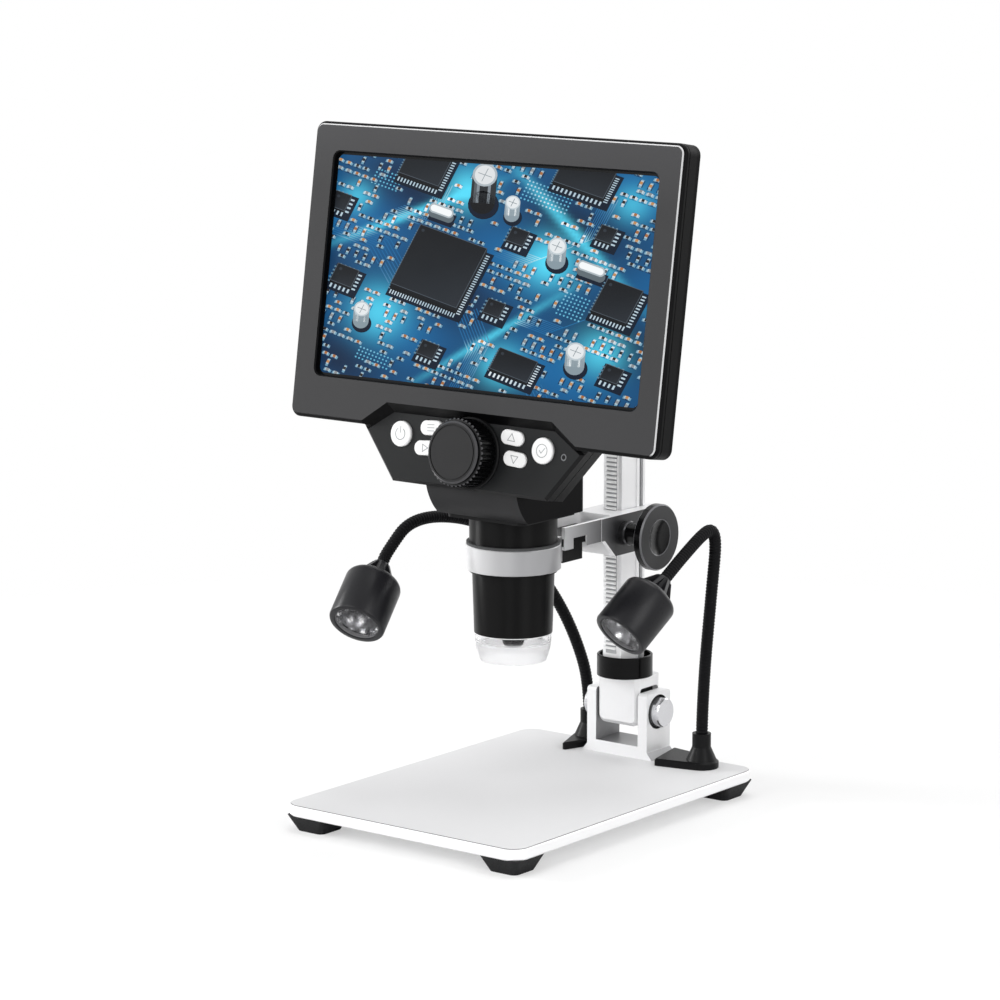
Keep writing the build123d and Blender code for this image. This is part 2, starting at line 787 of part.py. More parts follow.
def make_holder_ring():
    ring = rod_z(ring_outer_radius, ring_bottom_z, ring_top_z, 0, barrel_y)
    ring = chamfer(ring.edges().filter_by(GeomType.CIRCLE), 0.3)
    ring += block(-lug_half_width, lug_half_width, barrel_y + ring_inner_radius - 3, slider_front,
                  ring_bottom_z, ring_top_z)
    ring -= rod_z(ring_inner_radius, ring_bottom_z - 1, ring_top_z + 1, 0, barrel_y)
    deep = slider_front - holder_screw_bite
    for x in (-holder_screw_pitch / 2, holder_screw_pitch / 2):
        ring -= rod_y(holder_screw_radius, deep, slider_front + 1, x, holder_screw_z)
    return ring


def make_ring_liner():
    inner = barrel_radius + running_fit
    top = ring_top_z + liner_lip_height
    profile = [(inner, ring_bottom_z), (ring_inner_radius, ring_bottom_z), (ring_inner_radius, ring_top_z),
               (ring_inner_radius + liner_lip, ring_top_z), (ring_inner_radius + liner_lip, top), (inner, top)]
    return turned(profile, barrel_y)


# ------------------------------------------------------------------ camera barrel
def make_upper_barrel():
    inner = barrel_radius - barrel_wall
    profile = [(inner, step_z), (barrel_radius, step_z), (barrel_radius, chin_plate_z), (inner, chin_plate_z)]
    return turned(profile, barrel_y)


def make_lower_barrel():
    upper_inner = barrel_radius - barrel_wall
    spigot_top = step_z + lower_barrel_spigot
    profile = [(barrel_inner, nose_top_z), (lower_barrel_bottom_radius, nose_top_z),
               (lower_barrel_top_radius, step_z), (upper_inner, step_z), (upper_inner, spigot_top),
               (barrel_inner, spigot_top)]
    return turned(profile, barrel_y)


def make_nose():
    waist_z = nose_bottom_z + (nose_top_z - nose_bottom_z) * nose_waist_share
    top = nose_top_z + nose_spigot
    outer = [(lower_barrel_bottom_radius - 0.15, nose_top_z), (nose_waist_radius, waist_z),
             (nose_mouth_radius, nose_bottom_z)]
    inner = [(nose_mouth_radius - nose_wall, nose_bottom_z), (nose_waist_radius - nose_wall, waist_z),
             (barrel_inner - nose_wall, nose_top_z), (barrel_inner - nose_wall, top), (barrel_inner, top),
             (barrel_inner, nose_top_z)]
    return turned(outer + inner, barrel_y)


def make_led_ring():
    z = nose_top_z + nose_spigot
    board = turned([(led_board_inner, z), (barrel_inner, z), (barrel_inner, z + led_board_thickness),
                    (led_board_inner, z + led_board_thickness)], barrel_y)
    leds = []
    for number in range(led_count):
        turn = 2 * math.pi * number / led_count
        leds.append(rod_z(led_radius, z - led_drop, z, led_ring_radius * math.cos(turn),
                          barrel_y + led_ring_radius * math.sin(turn)))
    return Compound(children=board.solids() + [s for led in leds for s in led.solids()])


# ------------------------------------------------------------------ lens group and focus drive
def make_lens_cell():
    front = stage_z + lens_front_height
    flange = stage_z + lens_flange_height
    top = flange + lens_flange_thickness
    bore = lens_tube_radius - lens_tube_wall
    cell = turned([(bore, front), (lens_tube_radius, front), (lens_tube_radius, flange),
                   (barrel_inner - free_gap, flange), (barrel_inner - free_gap, top), (bore, top)], barrel_y)
    stem_x = spindle_radius + free_gap / 2
    cell += block(stem_x, stem_x + stem_width, barrel_y - stem_depth / 2, barrel_y + stem_depth / 2,
                  flange, stage_z + stem_top_height)
    return cell


def make_lens_glass():
    front = stage_z + lens_front_height
    bore = lens_tube_radius - lens_tube_wall
    return rod_z(bore, front + 0.6, front + 0.6 + lens_glass_thickness, 0, barrel_y)


def make_sensor_board():
    z = stage_z + lens_flange_height + lens_flange_thickness
    half = sensor_side / 2
    board = block(-half, half, barrel_y - half, barrel_y + half, z, z + sensor_thickness)
    stem_x = spindle_radius + free_gap / 2
    board -= block(stem_x, half + 1, barrel_y - stem_depth / 2, barrel_y + stem_depth / 2,
                   z - 1, z + sensor_thickness + 1)
    return board


def make_focus_spindle():
    out = -pod_recess + focus_flange_thickness + focus_gap + focus_body_depth * 0.6
    return on_screen(Pos(0, focus_y, 0) * rod_z(spindle_radius, -spindle_depth, out))


def make_focus_flange():
    ring = rod_z(focus_flange_radius, -pod_recess, -pod_recess + focus_flange_thickness)
    ring = chamfer(ring.edges().filter_by(GeomType.CIRCLE).group_by(Axis.Z)[-1], 0.4)
    ring -= rod_z(spindle_radius + running_fit, -pod_recess - 1, 0)
    return on_screen(Pos(0, focus_y, 0) * ring)


def make_focus_knob():
    start = -pod_recess + focus_flange_thickness + focus_gap
    body_top = start + focus_body_depth
    knob = rod_z(focus_body_radius, start, body_top)
    knob = chamfer(knob.edges().filter_by(GeomType.CIRCLE).group_by(Axis.Z)[-1], 0.5)
    for number in range(flute_count):
        turn = 2 * math.pi * number / flute_count
        knob -= rod_z(flute_radius, start - 1, body_top + 1, focus_body_radius * math.cos(turn),
                      focus_body_radius * math.sin(turn))
    face = rod_z(focus_face_radius, body_top, body_top + focus_face_depth)
    knob += chamfer(face.edges().filter_by(GeomType.CIRCLE).group_by(Axis.Z)[-1], focus_face_chamfer)
    top = body_top + focus_face_depth
    line = rod_z(focus_ring_radius, top - focus_ring_width, top + 1)
    knob -= line - rod_z(focus_ring_radius - focus_ring_width, top - 1, top + 1)
    knob -= rod_z(spindle_radius, start - 1, start + focus_body_depth * 0.6)
    return on_screen(Pos(0, focus_y, 0) * knob)


# ------------------------------------------------------------------ control pod
def pod_face_points():
    """Corners of the control panel's flat face."""
    return [(-pod_top_half, pod_top), (pod_top_half, pod_top), (pod_middle_half, pod_middle),
            (pod_bottom_half, pod_bottom), (-pod_bottom_half, pod_bottom), (-pod_middle_half, pod_middle)]


def pod_outline(grow):
    """The pod's six-sided outline, grown outwards from the flat face."""
    return offset(outline(pod_face_points()), amount=grow, kind=Kind.INTERSECTION)


def shoulder_outline(grow):
    """The outline behind the face: the lower sides run on up to the housing's lower edge."""
    slope = (pod_middle_half - pod_bottom_half) / (pod_middle - pod_bottom)
    half = pod_middle_half - slope * (pod_middle + housing_bottom)
    points = [(-pod_top_half, pod_top), (pod_top_half, pod_top), (half, -housing_bottom),
              (pod_bottom_half, pod_bottom), (-pod_bottom_half, pod_bottom), (-half, -housing_bottom)]
    return offset(outline(points), amount=grow, kind=Kind.INTERSECTION)


def pod_body():
    """The pod's full outer form, on the screen's axes."""
    body = prism(pod_outline(pod_edge), -pod_depth, -pod_recess)
    body = chamfer(body.edges().group_by(Axis.Z)[-1], pod_edge * 0.95)
    return body + prism(shoulder_outline(pod_edge), -pod_depth, -pod_recess - shoulder_drop)


def button_shape(kind, grow):
    if kind == "round":
        return Circle(round_button_radius + grow)
    return SlotOverall(pill_length + 2 * grow, pill_width + 2 * grow)


def make_pod_shell():
    shell = pod_body()
    shell -= prism(pod_outline(pod_edge - pod_wall), -pod_depth - 1, -pod_recess - pod_face)
    seam = prism(shoulder_outline(2 * pod_edge), -pod_seam_depth - seam_width, -pod_seam_depth)
    shell -= seam - prism(shoulder_outline(pod_edge - seam_width), -pod_depth, 0)
    for name, x, y, kind, turn in BUTTONS:
        shell -= prism(Pos(x, y) * Rot(0, 0, turn) * button_shape(kind, button_play), -pod_depth, 0)
    shell -= Pos(0, focus_y, 0) * rod_z(spindle_radius + running_fit, -pod_depth, 0)
    shell -= Pos(led_hole_x, led_hole_y, 0) * rod_z(led_hole_radius, -pod_depth, 0)
    return on_screen(shell)


def make_pod_back():
    back = prism(pod_outline(pod_edge - pod_wall), -pod_depth, -pod_depth + pod_back_thickness)
    board_back = -button_board_depth - button_board_thickness
    for x, y in PILLARS:
        back += rod_z(pillar_radius, -pod_depth + pod_back_thickness, board_back, x, y)
    back -= Pos(0, focus_y, 0) * rod_z(spindle_radius + free_gap, -pod_depth - 1, 0)
    return on_screen(back)


def make_button_board():
    """Board with one small switch under each button."""
    board = prism(pod_outline(pod_edge - pod_wall - free_gap), -button_board_depth - button_board_thickness,
                  -button_board_depth)
    board -= Pos(0, focus_y, 0) * rod_z(spindle_radius + free_gap, -pod_depth - 1, 0)
    half = switch_side / 2
    switch = block(-half, half, -half, half, -button_board_depth, -button_board_depth + switch_height)
    for name, x, y, kind, turn in BUTTONS:
        board += Pos(x, y, 0) * Rot(0, 0, turn) * switch
    return on_screen(board)


def make_button(x, y, kind, turn):
    """Cap that stands proud of the panel, with a flange behind it over its switch."""
    top = -pod_recess + button_proud
    inside = -pod_recess - pod_face - free_gap
    cap = prism(button_shape(kind, 0), inside, top)
    cap = chamfer(cap.edges().group_by(Axis.Z)[-1], 0.35)
    cap += prism(button_shape(kind, button_flange), inside - button_flange_thickness, inside)
    return on_screen(Pos(x, y, 0) * Rot(0, 0, turn) * cap)


def make_indicator():
    led = rod_z(led_hole_radius, -pod_recess - pod_face - 1, -pod_recess - 0.2)
    return on_screen(Pos(led_hole_x, led_hole_y, 0) * led)


# ------------------------------------------------------------------ screen housing
def housing_outline(inset):
    tall = housing_top + housing_bottom - 2 * inset
    middle = (housing_top - housing_bottom) / 2
    return Pos(0, middle) * RectangleRounded(housing_width - 2 * inset, tall,
                                             housing_corner_radius - min(inset, housing_corner_radius - 1))


def post_places():
    """Screw posts in the housing's corners and along its top."""
    x = housing_width / 2 - post_margin
    top = housing_top - housing_wall - post_radius + 0.1
    low = -housing_bottom + housing_wall + post_radius - 0.1
    return [(-x, top), (x, top), (-x / 3, top), (x / 3, top), (-x, low), (x, low)]


def notch_cut():
    """The bezel's lower notch: its walls slope down to the control panel."""
    low = pod_middle - 3.0
    slope = (pod_middle_half - pod_top_half) / (pod_top - pod_middle)
    front_top = pod_top + notch_rise
    front_half = pod_top_half + notch_flare
    front_low = front_half + notch_side_flare * 2 + (front_top - low) * 0.3
    back_low = pod_top_half + (pod_top - low) * slope
    front = outline([(-front_half, front_top), (front_half, front_top), (front_low, low), (-front_low, low)])
    back = outline([(-pod_top_half, pod_top), (pod_top_half, pod_top), (back_low, low), (-back_low, low)])
    return loft([Pos(0, 0, 0.01) * front, Pos(0, 0, -pod_recess) * back])


def opening(grow):
    """The screen's opening with its rounded corners, grown by an amount."""
    return RectangleRounded(opening_width + 2 * grow, opening_height + 2 * grow, opening_corner_radius + grow)


def make_bezel_frame():
    frame = prism(housing_outline(0), -bezel_depth, -face_plate_step)
    frame = fillet(frame.edges().group_by(Axis.Z)[-1], bezel_round)
    plate = prism(housing_outline(face_plate_inset), -bezel_face, 0)
    frame += chamfer(plate.edges().group_by(Axis.Z)[-1], face_plate_chamfer)
    seam = prism(housing_outline(-1), -seam_depth - seam_width, -seam_depth)
    frame -= seam - prism(housing_outline(seam_width), -bezel_depth, 0)
    top_half = pod_top_half + notch_flare + notch_lip
    lip_top = pod_top + notch_rise + notch_lip
    low_half = top_half + notch_lip_flare
    lip = prism(outline([(-top_half, lip_top), (top_half, lip_top), (low_half, -housing_bottom),
                         (-low_half, -housing_bottom)]), -pod_recess, -bezel_face)
    cavity = prism(housing_outline(housing_wall), -bezel_depth - 1, -bezel_face) - lip
    for x, y in post_places():
        cavity -= rod_z(post_radius, -bezel_depth - 1, -bezel_face, x, y)
    frame -= cavity
    frame -= prism(opening(0), -bezel_face - 1, 1)
    frame -= loft([Pos(0, 0, -opening_chamfer) * opening(0), opening(opening_chamfer)])
    frame -= notch_cut()
    frame -= prism(shoulder_outline(pod_edge), -pod_depth, -pod_recess)
    frame -= Pos(0, focus_y, 0) * rod_z(focus_flange_radius + free_gap / 2, -pod_recess, 1)
    for x, y in post_places():
        frame -= rod_z(back_screw_radius, -bezel_depth - 1, -bezel_depth + back_screw_bite, x, y)
    return on_screen(frame)


def make_lcd():
    panel = prism(Rectangle(lcd_width, lcd_height), -bezel_face - lcd_thickness, -bezel_face)
    return on_screen(panel)


def cover_back():
    """Depth of the back cover's outer face, and of its bulge."""
    rim = -bezel_depth - cover_thickness
    return rim, rim - cover_bulge_depth


def make_back_cover():
    rim, deep = cover_back()
    cover = prism(housing_outline(0), rim, -bezel_depth)
    middle = (cover_bulge_top - cover_bulge_bottom) / 2
    tall = cover_bulge_top + cover_bulge_bottom
    outside = RectangleRounded(2 * cover_bulge_half_width, tall, cover_bulge_corner)
    bulge = prism(Pos(0, middle) * outside, deep, rim)
    bulge = fillet(bulge.edges().group_by(Axis.Z)[0], cover_round)
    cover += bulge
    wall = cover_thickness
    inside = RectangleRounded(2 * (cover_bulge_half_width - wall), tall - 2 * wall, cover_bulge_corner - wall)
    cover -= prism(Pos(0, middle) * inside, deep + wall, -bezel_depth + 1)
    vent = Rot(0, 0, 90) * SlotOverall(vent_length, vent_width)
    for number in range(vent_count):
        x = (number - (vent_count - 1) / 2) * vent_pitch
        cover -= prism(Pos(x, cover_bulge_top - vent_drop) * vent, deep - 1, deep + wall + 1)
    for x, y in board_pillars():
        cover += rod_z(cover_pillar_radius, deep + wall, board_depth(), x, y)
    for x, y in post_places():
        cover -= rod_z(back_screw_radius, rim - 1, 0, x, y)
        cover -= rod_z(back_screw_head, rim - 1, rim + back_screw_sink, x, y)
    for depth, width, tall_cut, y in socket_places():
        cover -= block(-cover_bulge_half_width - 1, -cover_bulge_half_width + wall + 1,
                       y - width / 2, y + width / 2, depth - tall_cut, depth)
    cover -= prism(shoulder_outline(pod_edge), -pod_depth, -pod_recess)
    return on_screen(cover)


def board_depth():
    """Depth of the main board's rear face."""
    rim, deep = cover_back()
    return deep + cover_thickness + 3.6


def board_pillars():
    x, y = board_width / 2 - 5, board_height / 2 - 5
    middle = (cover_bulge_top - cover_bulge_bottom) / 2
    return [(sx * x, middle + sy * y) for sx in (-1, 1) for sy in (-1, 1)]


def make_main_board():
    middle = (cover_bulge_top - cover_bulge_bottom) / 2
    board = prism(Pos(0, middle) * Rectangle(board_width, board_height), board_depth(),
                  board_depth() + board_thickness)
    reach = cover_bulge_half_width - cover_thickness - free_gap
    board += block(-reach, -board_width / 2, middle - socket_spacing, middle + socket_spacing,
                   board_depth(), board_depth() + board_thickness)
    return on_screen(board)


def socket_places():
    """Depth, width, height and place along the board edge of the two sockets."""
    middle = (cover_bulge_top - cover_bulge_bottom) / 2
    return [(board_depth(), socket_width, socket_height, middle + socket_spacing / 2),
            (board_depth(), card_width, card_height, middle - socket_spacing / 2)]


def make_side_sockets():
    shells = []
    for depth, width, tall, y in socket_places():
        shell = block(-cover_bulge_half_width, -cover_bulge_half_width + socket_length,
                      y - width / 2, y + width / 2, depth - tall, depth)
        shell -= block(-cover_bulge_half_width - 1, -cover_bulge_half_width + socket_length - 1.5,
                       y - width / 2 + 0.4, y + width / 2 - 0.4, depth - tall + 0.4, depth - 0.4)
        shells.append(on_screen(shell))
    return Compound(children=[s for part in shells for s in part.solids()])


def make_back_screws():
    rim, deep = cover_back()
    screws = []
    for x, y in post_places():
        screw = rod_z(back_screw_head, rim, rim + back_screw_sink, x, y) - cross_recess(rim, x, y)
        screw += rod_z(back_screw_radius, rim + back_screw_sink, -bezel_depth + back_screw_bite, x, y)
        screws.append(on_screen(screw))
    return Compound(children=[s for part in screws for s in part.solids()])


# ------------------------------------------------------------------ camera housing
def make_camera_housing():
    """Housing behind and below the pod that carries the barrel; its front curves under like a chin."""
    rim, deep = cover_back()
    pod_low, pod_high = pod_bottom - pod_edge, pod_top + pod_edge
    front_top = screen_point(pod_low, -pod_recess - pod_edge * 2)
    front_low = (chin_front_bottom, chin_bottom_z)
    middle = ((front_top[0] + front_low[0]) / 2 - chin_bulge, (front_top[1] + front_low[1]) / 2)
    above = [screen_point(-cover_bulge_bottom, deep - 2), screen_point(-cover_bulge_bottom, rim),
             screen_point(pod_high, rim), screen_point(pod_high, -pod_depth),
             screen_point(pod_low, -pod_depth), front_top]
    spots = [(0, y, z) for y, z in [front_low, (chin_back, chin_bottom_z),
                                    (chin_back, stage_z + chin_back_top_height)] + above]
    sides = [Line(a, b) for a, b in zip(spots[:-1], spots[1:])]
    curve = ThreePointArc(spots[-1], (0, *middle), spots[0])
    face = make_face(sides + [curve])
    body = extrude(face, amount=chin_half_width, dir=(1, 0, 0), both=True)
    corners = body.edges().filter_by(Axis.Z)
    body = fillet(corners, chin_round)
    middle_z = stage_z + shaft_well_top_height
    body -= block(-shaft_well_half_width, shaft_well_half_width, shaft_well_front, shaft_well_back,
                  chin_bottom_z - 1, middle_z)
    stem_x = spindle_radius + free_gap / 2
    stem_top = stage_z + stem_top_height + focus_travel + free_gap
    body -= block(stem_x - 1, stem_x + stem_width + 1, barrel_y - stem_depth / 2 - 1,
                  barrel_y + stem_depth / 2 + 1, middle_z - 1, stem_top)
    body -= on_screen(Pos(0, focus_y, 0) * rod_z(spindle_radius + free_gap, -spindle_depth, 0))
    return body


def make_chin_plate():
    wide = 2 * (chin_half_width - chin_plate_inset)
    front, back = chin_front_bottom + chin_plate_front_inset, chin_back - chin_plate_inset / 2
    face = Pos(0, (front + back) / 2) * RectangleRounded(wide, back - front, 3)
    plate = prism(face, chin_plate_z, chin_bottom_z)
    return plate - rod_z(barrel_inner, chin_plate_z - 1, chin_bottom_z + 1, 0, barrel_y)


# ------------------------------------------------------------------ gooseneck lamps
def neck_corners(lamp):
    """The route's corners as places in the frame."""
    return [Vector(x, plate_depth / 2 - inset, stage_z + z) for x, inset, z in lamp["low"] + lamp["high"]]


def bend_spot(lamp):
    """Place and direction of the gooseneck's middle joint."""
    corners = neck_corners(lamp)
    number = len(lamp["low"])
    start, end = corners[number - 1], corners[number]
    return start + (end - start) * lamp["bend_share"], (end - start).normalized()


def tube(points, radii):
    """Round bar along straight runs joined by tangent arcs."""
    path = FilletPolyline(*points, radius=radii) if radii else Line(points[0], points[1])
    start = Plane(origin=path @ 0, z_dir=path % 0)
    return sweep(start * Circle(neck_radius), path=path)


def along(spot, direction, shape):
    """Place a shape drawn along +Z at a spot, pointing in a direction."""
    return Plane(origin=spot, z_dir=direction).location * shape


def ball_trim(spot, direction):
    """What is cut off a bar beyond its ball-shaped end."""
    beyond = rod_z(neck_radius * 2, 0, ball_radius * 2)
    return along(spot, direction, beyond - Sphere(ball_radius))


def make_lower_neck(lamp):
    corners = neck_corners(lamp)
    spot, direction = bend_spot(lamp)
    number = len(lamp["low"])
    points = corners[:number] + [spot + direction * ball_radius]
    bar = tube(points, lamp["radii"][:number - 1])
    return bar - ball_trim(spot, direction)


def make_upper_neck(lamp):
    corners = neck_corners(lamp)
    spot, direction = bend_spot(lamp)
    number = len(lamp["low"])
    last = (corners[-1] - corners[-2]).normalized()
    points = [spot] + corners[number:-1] + [corners[-1] + last * ball_radius]
    bar = tube(points, lamp["radii"][number - 1:])
    bar -= along(spot, direction, Sphere(ball_radius + joint_gap))
    return bar - ball_trim(corners[-1], last)


def lamp_place(lamp):
    """Plane at the lamp's ball joint, with z along the beam."""
    x_dir = Vector(*lamp["axis"]).cross(Vector(0, 0, 1))
    return Plane(origin=neck_corners(lamp)[-1], x_dir=x_dir, z_dir=lamp["axis"])


def make_lamp_shell(lamp):
    lens_top = lamp_length - lamp_lens_inset - lamp_lens_thickness
    floor = lamp_length - lamp_mouth_depth
    profile = [(0, lamp_cup_setback), (lamp_neck_radius, lamp_cup_setback),
               (lamp_neck_radius, lamp_neck_length),
               (lamp_cone_end_radius, lamp_cone_end), (lamp_rim_radius, lamp_cone_end),
               (lamp_radius, lamp_shoulder), (lamp_radius, lamp_length - 0.6),
               (lamp_radius - 0.6, lamp_length), (lamp_mouth_radius + 0.5, lamp_length),
               (lamp_mouth_radius, lens_top), (lamp_mouth_radius, floor), (0, floor)]
    shell = turned(profile)
    fin = side_prism([(0, lamp_neck_length), (lamp_neck_radius + fin_foot, lamp_neck_length),
                      (lamp_rim_radius - 0.2, lamp_cone_end), (0, lamp_cone_end)], fin_thickness / 2)
    for number in range(fin_count):
        shell += Rot(0, 0, 360 * number / fin_count + 45) * fin
    shell -= Sphere(ball_radius + joint_gap)
    return lamp_place(lamp).location * shell


def make_reflector(lamp):
    """Bright bowl behind the lens."""
    bottom = lamp_length - lamp_mouth_depth
    top = lamp_length - lamp_lens_inset - lamp_lens_thickness
    deep = top - bottom - lamp_reflector_wall
    steps = 6
    bowl = []
    for step in range(steps + 1):
        radius = lamp_led_hole + (lamp_mouth_radius - lamp_reflector_wall - lamp_led_hole) * step / steps
        share = (radius ** 2 - lamp_led_hole ** 2) / ((lamp_mouth_radius - lamp_reflector_wall) ** 2
                                                      - lamp_led_hole ** 2)
        bowl.append((radius, bottom + lamp_reflector_wall + deep * share))
    profile = [(0, bottom), (lamp_mouth_radius, bottom), (lamp_mouth_radius, top)] + bowl[::-1]
    profile.append((0, bottom + lamp_reflector_wall))
    return lamp_place(lamp).location * turned(profile)


def make_lamp_lens(lamp):
    top = lamp_length - lamp_lens_inset
    return lamp_place(lamp).location * rod_z(lamp_mouth_radius, top - lamp_lens_thickness, top)


def make_lamp_foot(lamp):
    """Flat foot with a cone and a boss that the gooseneck turns in."""
    x, inset, start = lamp["low"][0]
    rear = plate_depth / 2
    y = rear - inset
    circles = Pos(x, y) * Circle(lamp_foot_radius)
    for corner_x, corner_inset in (lamp["toe"], lamp["heel"]):
        circles += Pos(corner_x, rear - corner_inset) * Circle(1.0)
    face = make_hull(circles.edges())
    foot = prism(face, stage_z, stage_z + lamp_foot_thickness)
    foot = chamfer(foot.edges().group_by(Axis.Z)[-1], 0.6)
    cone_z = stage_z + lamp_foot_thickness
    boss_z = stage_z + lamp_boss_height
    profile = [(0, cone_z), (lamp_cone_radius, cone_z), (lamp_boss_radius, cone_z + lamp_cone_height),
               (lamp_boss_radius, boss_z), (0, boss_z)]
    foot += Pos(x, y, 0) * turned(profile)
    side = 1 if x > 0 else -1
    span = sorted((side * (cheek_outer + flare_width + free_gap), side * plate_width / 2))
    foot &= block(span[0], span[1], 0, rear - 0.1, stage_z, boss_z)
    foot -= rod_z(neck_radius + running_fit, stage_z + start, boss_z + 1, x, y)
    return foot


# ------------------------------------------------------------------ write every sub-part
def main():
    os.makedirs("parts", exist_ok=True)
    save(make_base_plate(), "base_plate")
    save(make_feet(), "rubber_feet")
    save(make_base_screws(), "base_screws")
    save(make_tilt_bracket(), "tilt_bracket")
    save(make_pivot_bolts(), "pivot_bolts")
    save(make_tilt_block(), "tilt_block")
    save(make_collar(), "column_collar")
    save(make_column(), "column")
    save(make_rack(), "gear_rack")
    save(make_column_cap(), "column_cap")
    save(make_carriage(), "carriage")
    save(make_bushes(), "shaft_bushes")
    save(make_pinion(), "pinion")
    save(make_pinion_shaft(), "pinion_shaft")
    save(make_rack_knob(-1), "rack_knob_left")
    save(make_rack_knob(1), "rack_knob_right")
    save(make_slide_bar(), "slide_bar")
    save(make_holder_screws(), "holder_screws")
    save(make_holder_ring(), "holder_ring")
    save(make_ring_liner(), "ring_liner")
    save(make_upper_barrel(), "upper_barrel")
    save(make_lower_barrel(), "lower_barrel")
    save(make_nose(), "clear_nose")
    save(make_led_ring(), "led_ring")
    save(make_lens_cell(), "lens_cell")
    save(make_lens_glass(), "lens_glass")
    save(make_sensor_board(), "sensor_board")
    save(make_focus_spindle(), "focus_spindle")
    save(make_focus_flange(), "focus_flange")
    save(make_focus_knob(), "focus_knob")
    save(make_pod_shell(), "pod_shell")
    save(make_pod_back(), "pod_back")
    save(make_button_board(), "button_board")
    for name, x, y, kind, turn in BUTTONS:
        save(make_button(x, y, kind, turn), name)
    save(make_indicator(), "indicator_led")
    save(make_bezel_frame(), "bezel_frame")
    save(make_lcd(), "lcd_panel")
    save(make_main_board(), "main_board")
    save(make_side_sockets(), "side_sockets")
    save(make_back_cover(), "back_cover")
    save(make_back_screws(), "back_screws")
    save(make_camera_housing(), "camera_housing")
    save(make_chin_plate(), "chin_plate")
    for side, lamp in (("left", left_lamp), ("right", right_lamp)):
        save(make_lamp_foot(lamp), f"{side}_lamp_foot")
        save(make_lower_neck(lamp), f"{side}_lower_neck")
        save(make_upper_neck(lamp), f"{side}_upper_neck")
        save(make_lamp_shell(lamp), f"{side}_lamp_shell")
        save(make_reflector(lamp), f"{side}_lamp_reflector")
        save(make_lamp_lens(lamp), f"{side}_lamp_lens")


main()
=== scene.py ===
"""Looks of the digital microscope: camera, light, materials and the pieces that need fine modelling."""
import json
import math
import random

import bpy
from mathutils import Matrix, Vector


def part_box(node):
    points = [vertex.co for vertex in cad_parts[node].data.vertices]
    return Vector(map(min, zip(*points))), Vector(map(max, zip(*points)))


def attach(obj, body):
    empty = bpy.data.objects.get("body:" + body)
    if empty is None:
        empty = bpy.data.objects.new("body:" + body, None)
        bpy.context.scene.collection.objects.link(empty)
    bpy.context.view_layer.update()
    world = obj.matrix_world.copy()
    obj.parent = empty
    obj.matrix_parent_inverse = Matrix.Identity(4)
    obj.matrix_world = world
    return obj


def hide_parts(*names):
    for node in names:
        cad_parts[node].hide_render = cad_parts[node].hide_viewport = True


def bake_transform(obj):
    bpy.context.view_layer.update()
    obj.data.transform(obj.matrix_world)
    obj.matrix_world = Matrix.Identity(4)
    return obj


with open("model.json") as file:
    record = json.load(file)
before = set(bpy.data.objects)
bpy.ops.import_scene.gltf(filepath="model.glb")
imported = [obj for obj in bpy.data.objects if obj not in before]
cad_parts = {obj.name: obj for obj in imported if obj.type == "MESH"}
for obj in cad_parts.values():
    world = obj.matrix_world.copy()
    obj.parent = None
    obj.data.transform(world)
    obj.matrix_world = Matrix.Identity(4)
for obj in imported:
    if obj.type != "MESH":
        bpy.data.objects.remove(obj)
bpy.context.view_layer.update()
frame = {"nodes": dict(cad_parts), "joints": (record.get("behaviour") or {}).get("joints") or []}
nodes = frame["nodes"]
joints = {joint["name"]: joint for joint in frame["joints"]}


# --------------------------- places
# A length is in mm unless a comment says otherwise; a place in the frame is a vector in metres.
MM = 0.001
RIGHT, REAR, UP = Vector((1, 0, 0)), Vector((0, 1, 0)), Vector((0, 0, 1))
SCREEN_OUT = Vector(joints["focus_turn"]["axis"]).normalized()
SCREEN_UP = SCREEN_OUT.cross(RIGHT)
SCREEN_CENTRE = Vector((0, -27.33, 215.94)) * MM
STAGE_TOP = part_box("base_plate")[1][2] / MM
BARREL_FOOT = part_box("lower_barrel")[0][2] / MM
LAMP_BEAMS = {"left": (0.18, -0.74, -0.65), "right": (-0.16, -0.76, -0.63)}


def on_screen(x, up, out):
    """Place in the frame of a point on the screen's own axes."""
    return SCREEN_CENTRE + (RIGHT * x + SCREEN_UP * up + SCREEN_OUT * out) * MM


def joint_place(name):
    return Vector(joints[name]["pos_m"])


def lamp_frame(side):
    """Ball joint of a lamp, its beam's direction and two directions across it."""
    ahead = Vector(LAMP_BEAMS[side]).normalized()
    across = UP.cross(ahead).normalized()
    return joint_place(f"{side}_lamp_aim"), ahead, across, ahead.cross(across)


# --------------------------- camera and light
# metres and degrees; the azimuth turns from straight ahead towards the right
CAMERA_PLACE = (0.8845, -1.1587, 0.3878)
CAMERA_AZIMUTH, CAMERA_ELEVATION = 37.725, 10.19
SENSOR_WIDTH, FOCAL_LENGTH = 36.0, 136.46
# place, target, width and height in metres, and power in watts
SOFTBOXES = {
    "front_softbox": ((-0.55, -1.6, 1.15), (0, 0, 0.15), (1.3, 1.0), 12.0),
    "right_softbox": ((1.6, -0.5, 0.75), (0, 0.02, 0.12), (0.8, 1.2), 8.5),
    "left_strip": ((-1.25, -0.5, 0.42), (0, 0, 0.1), (0.35, 0.8), 12.0),
    "low_fill": ((0.75, -1.5, 0.3), (0, 0, 0.12), (0.6, 0.5), 2.4),
    "top_softbox": ((0.1, 0.4, 1.7), (0, 0, 0.1), (1.4, 1.0), 11.0),
    "rear_softbox": ((0.5, 1.7, 0.7), (0, 0, 0.15), (1.2, 0.9), 6.0),
}
ROOM_LIGHT = 0.42                 # what the white room adds to the softboxes
FLOOR_REACH = 14.0                # metres
FLOOR_GLOW = 0.45                 # how much of the floor's own white the camera sees


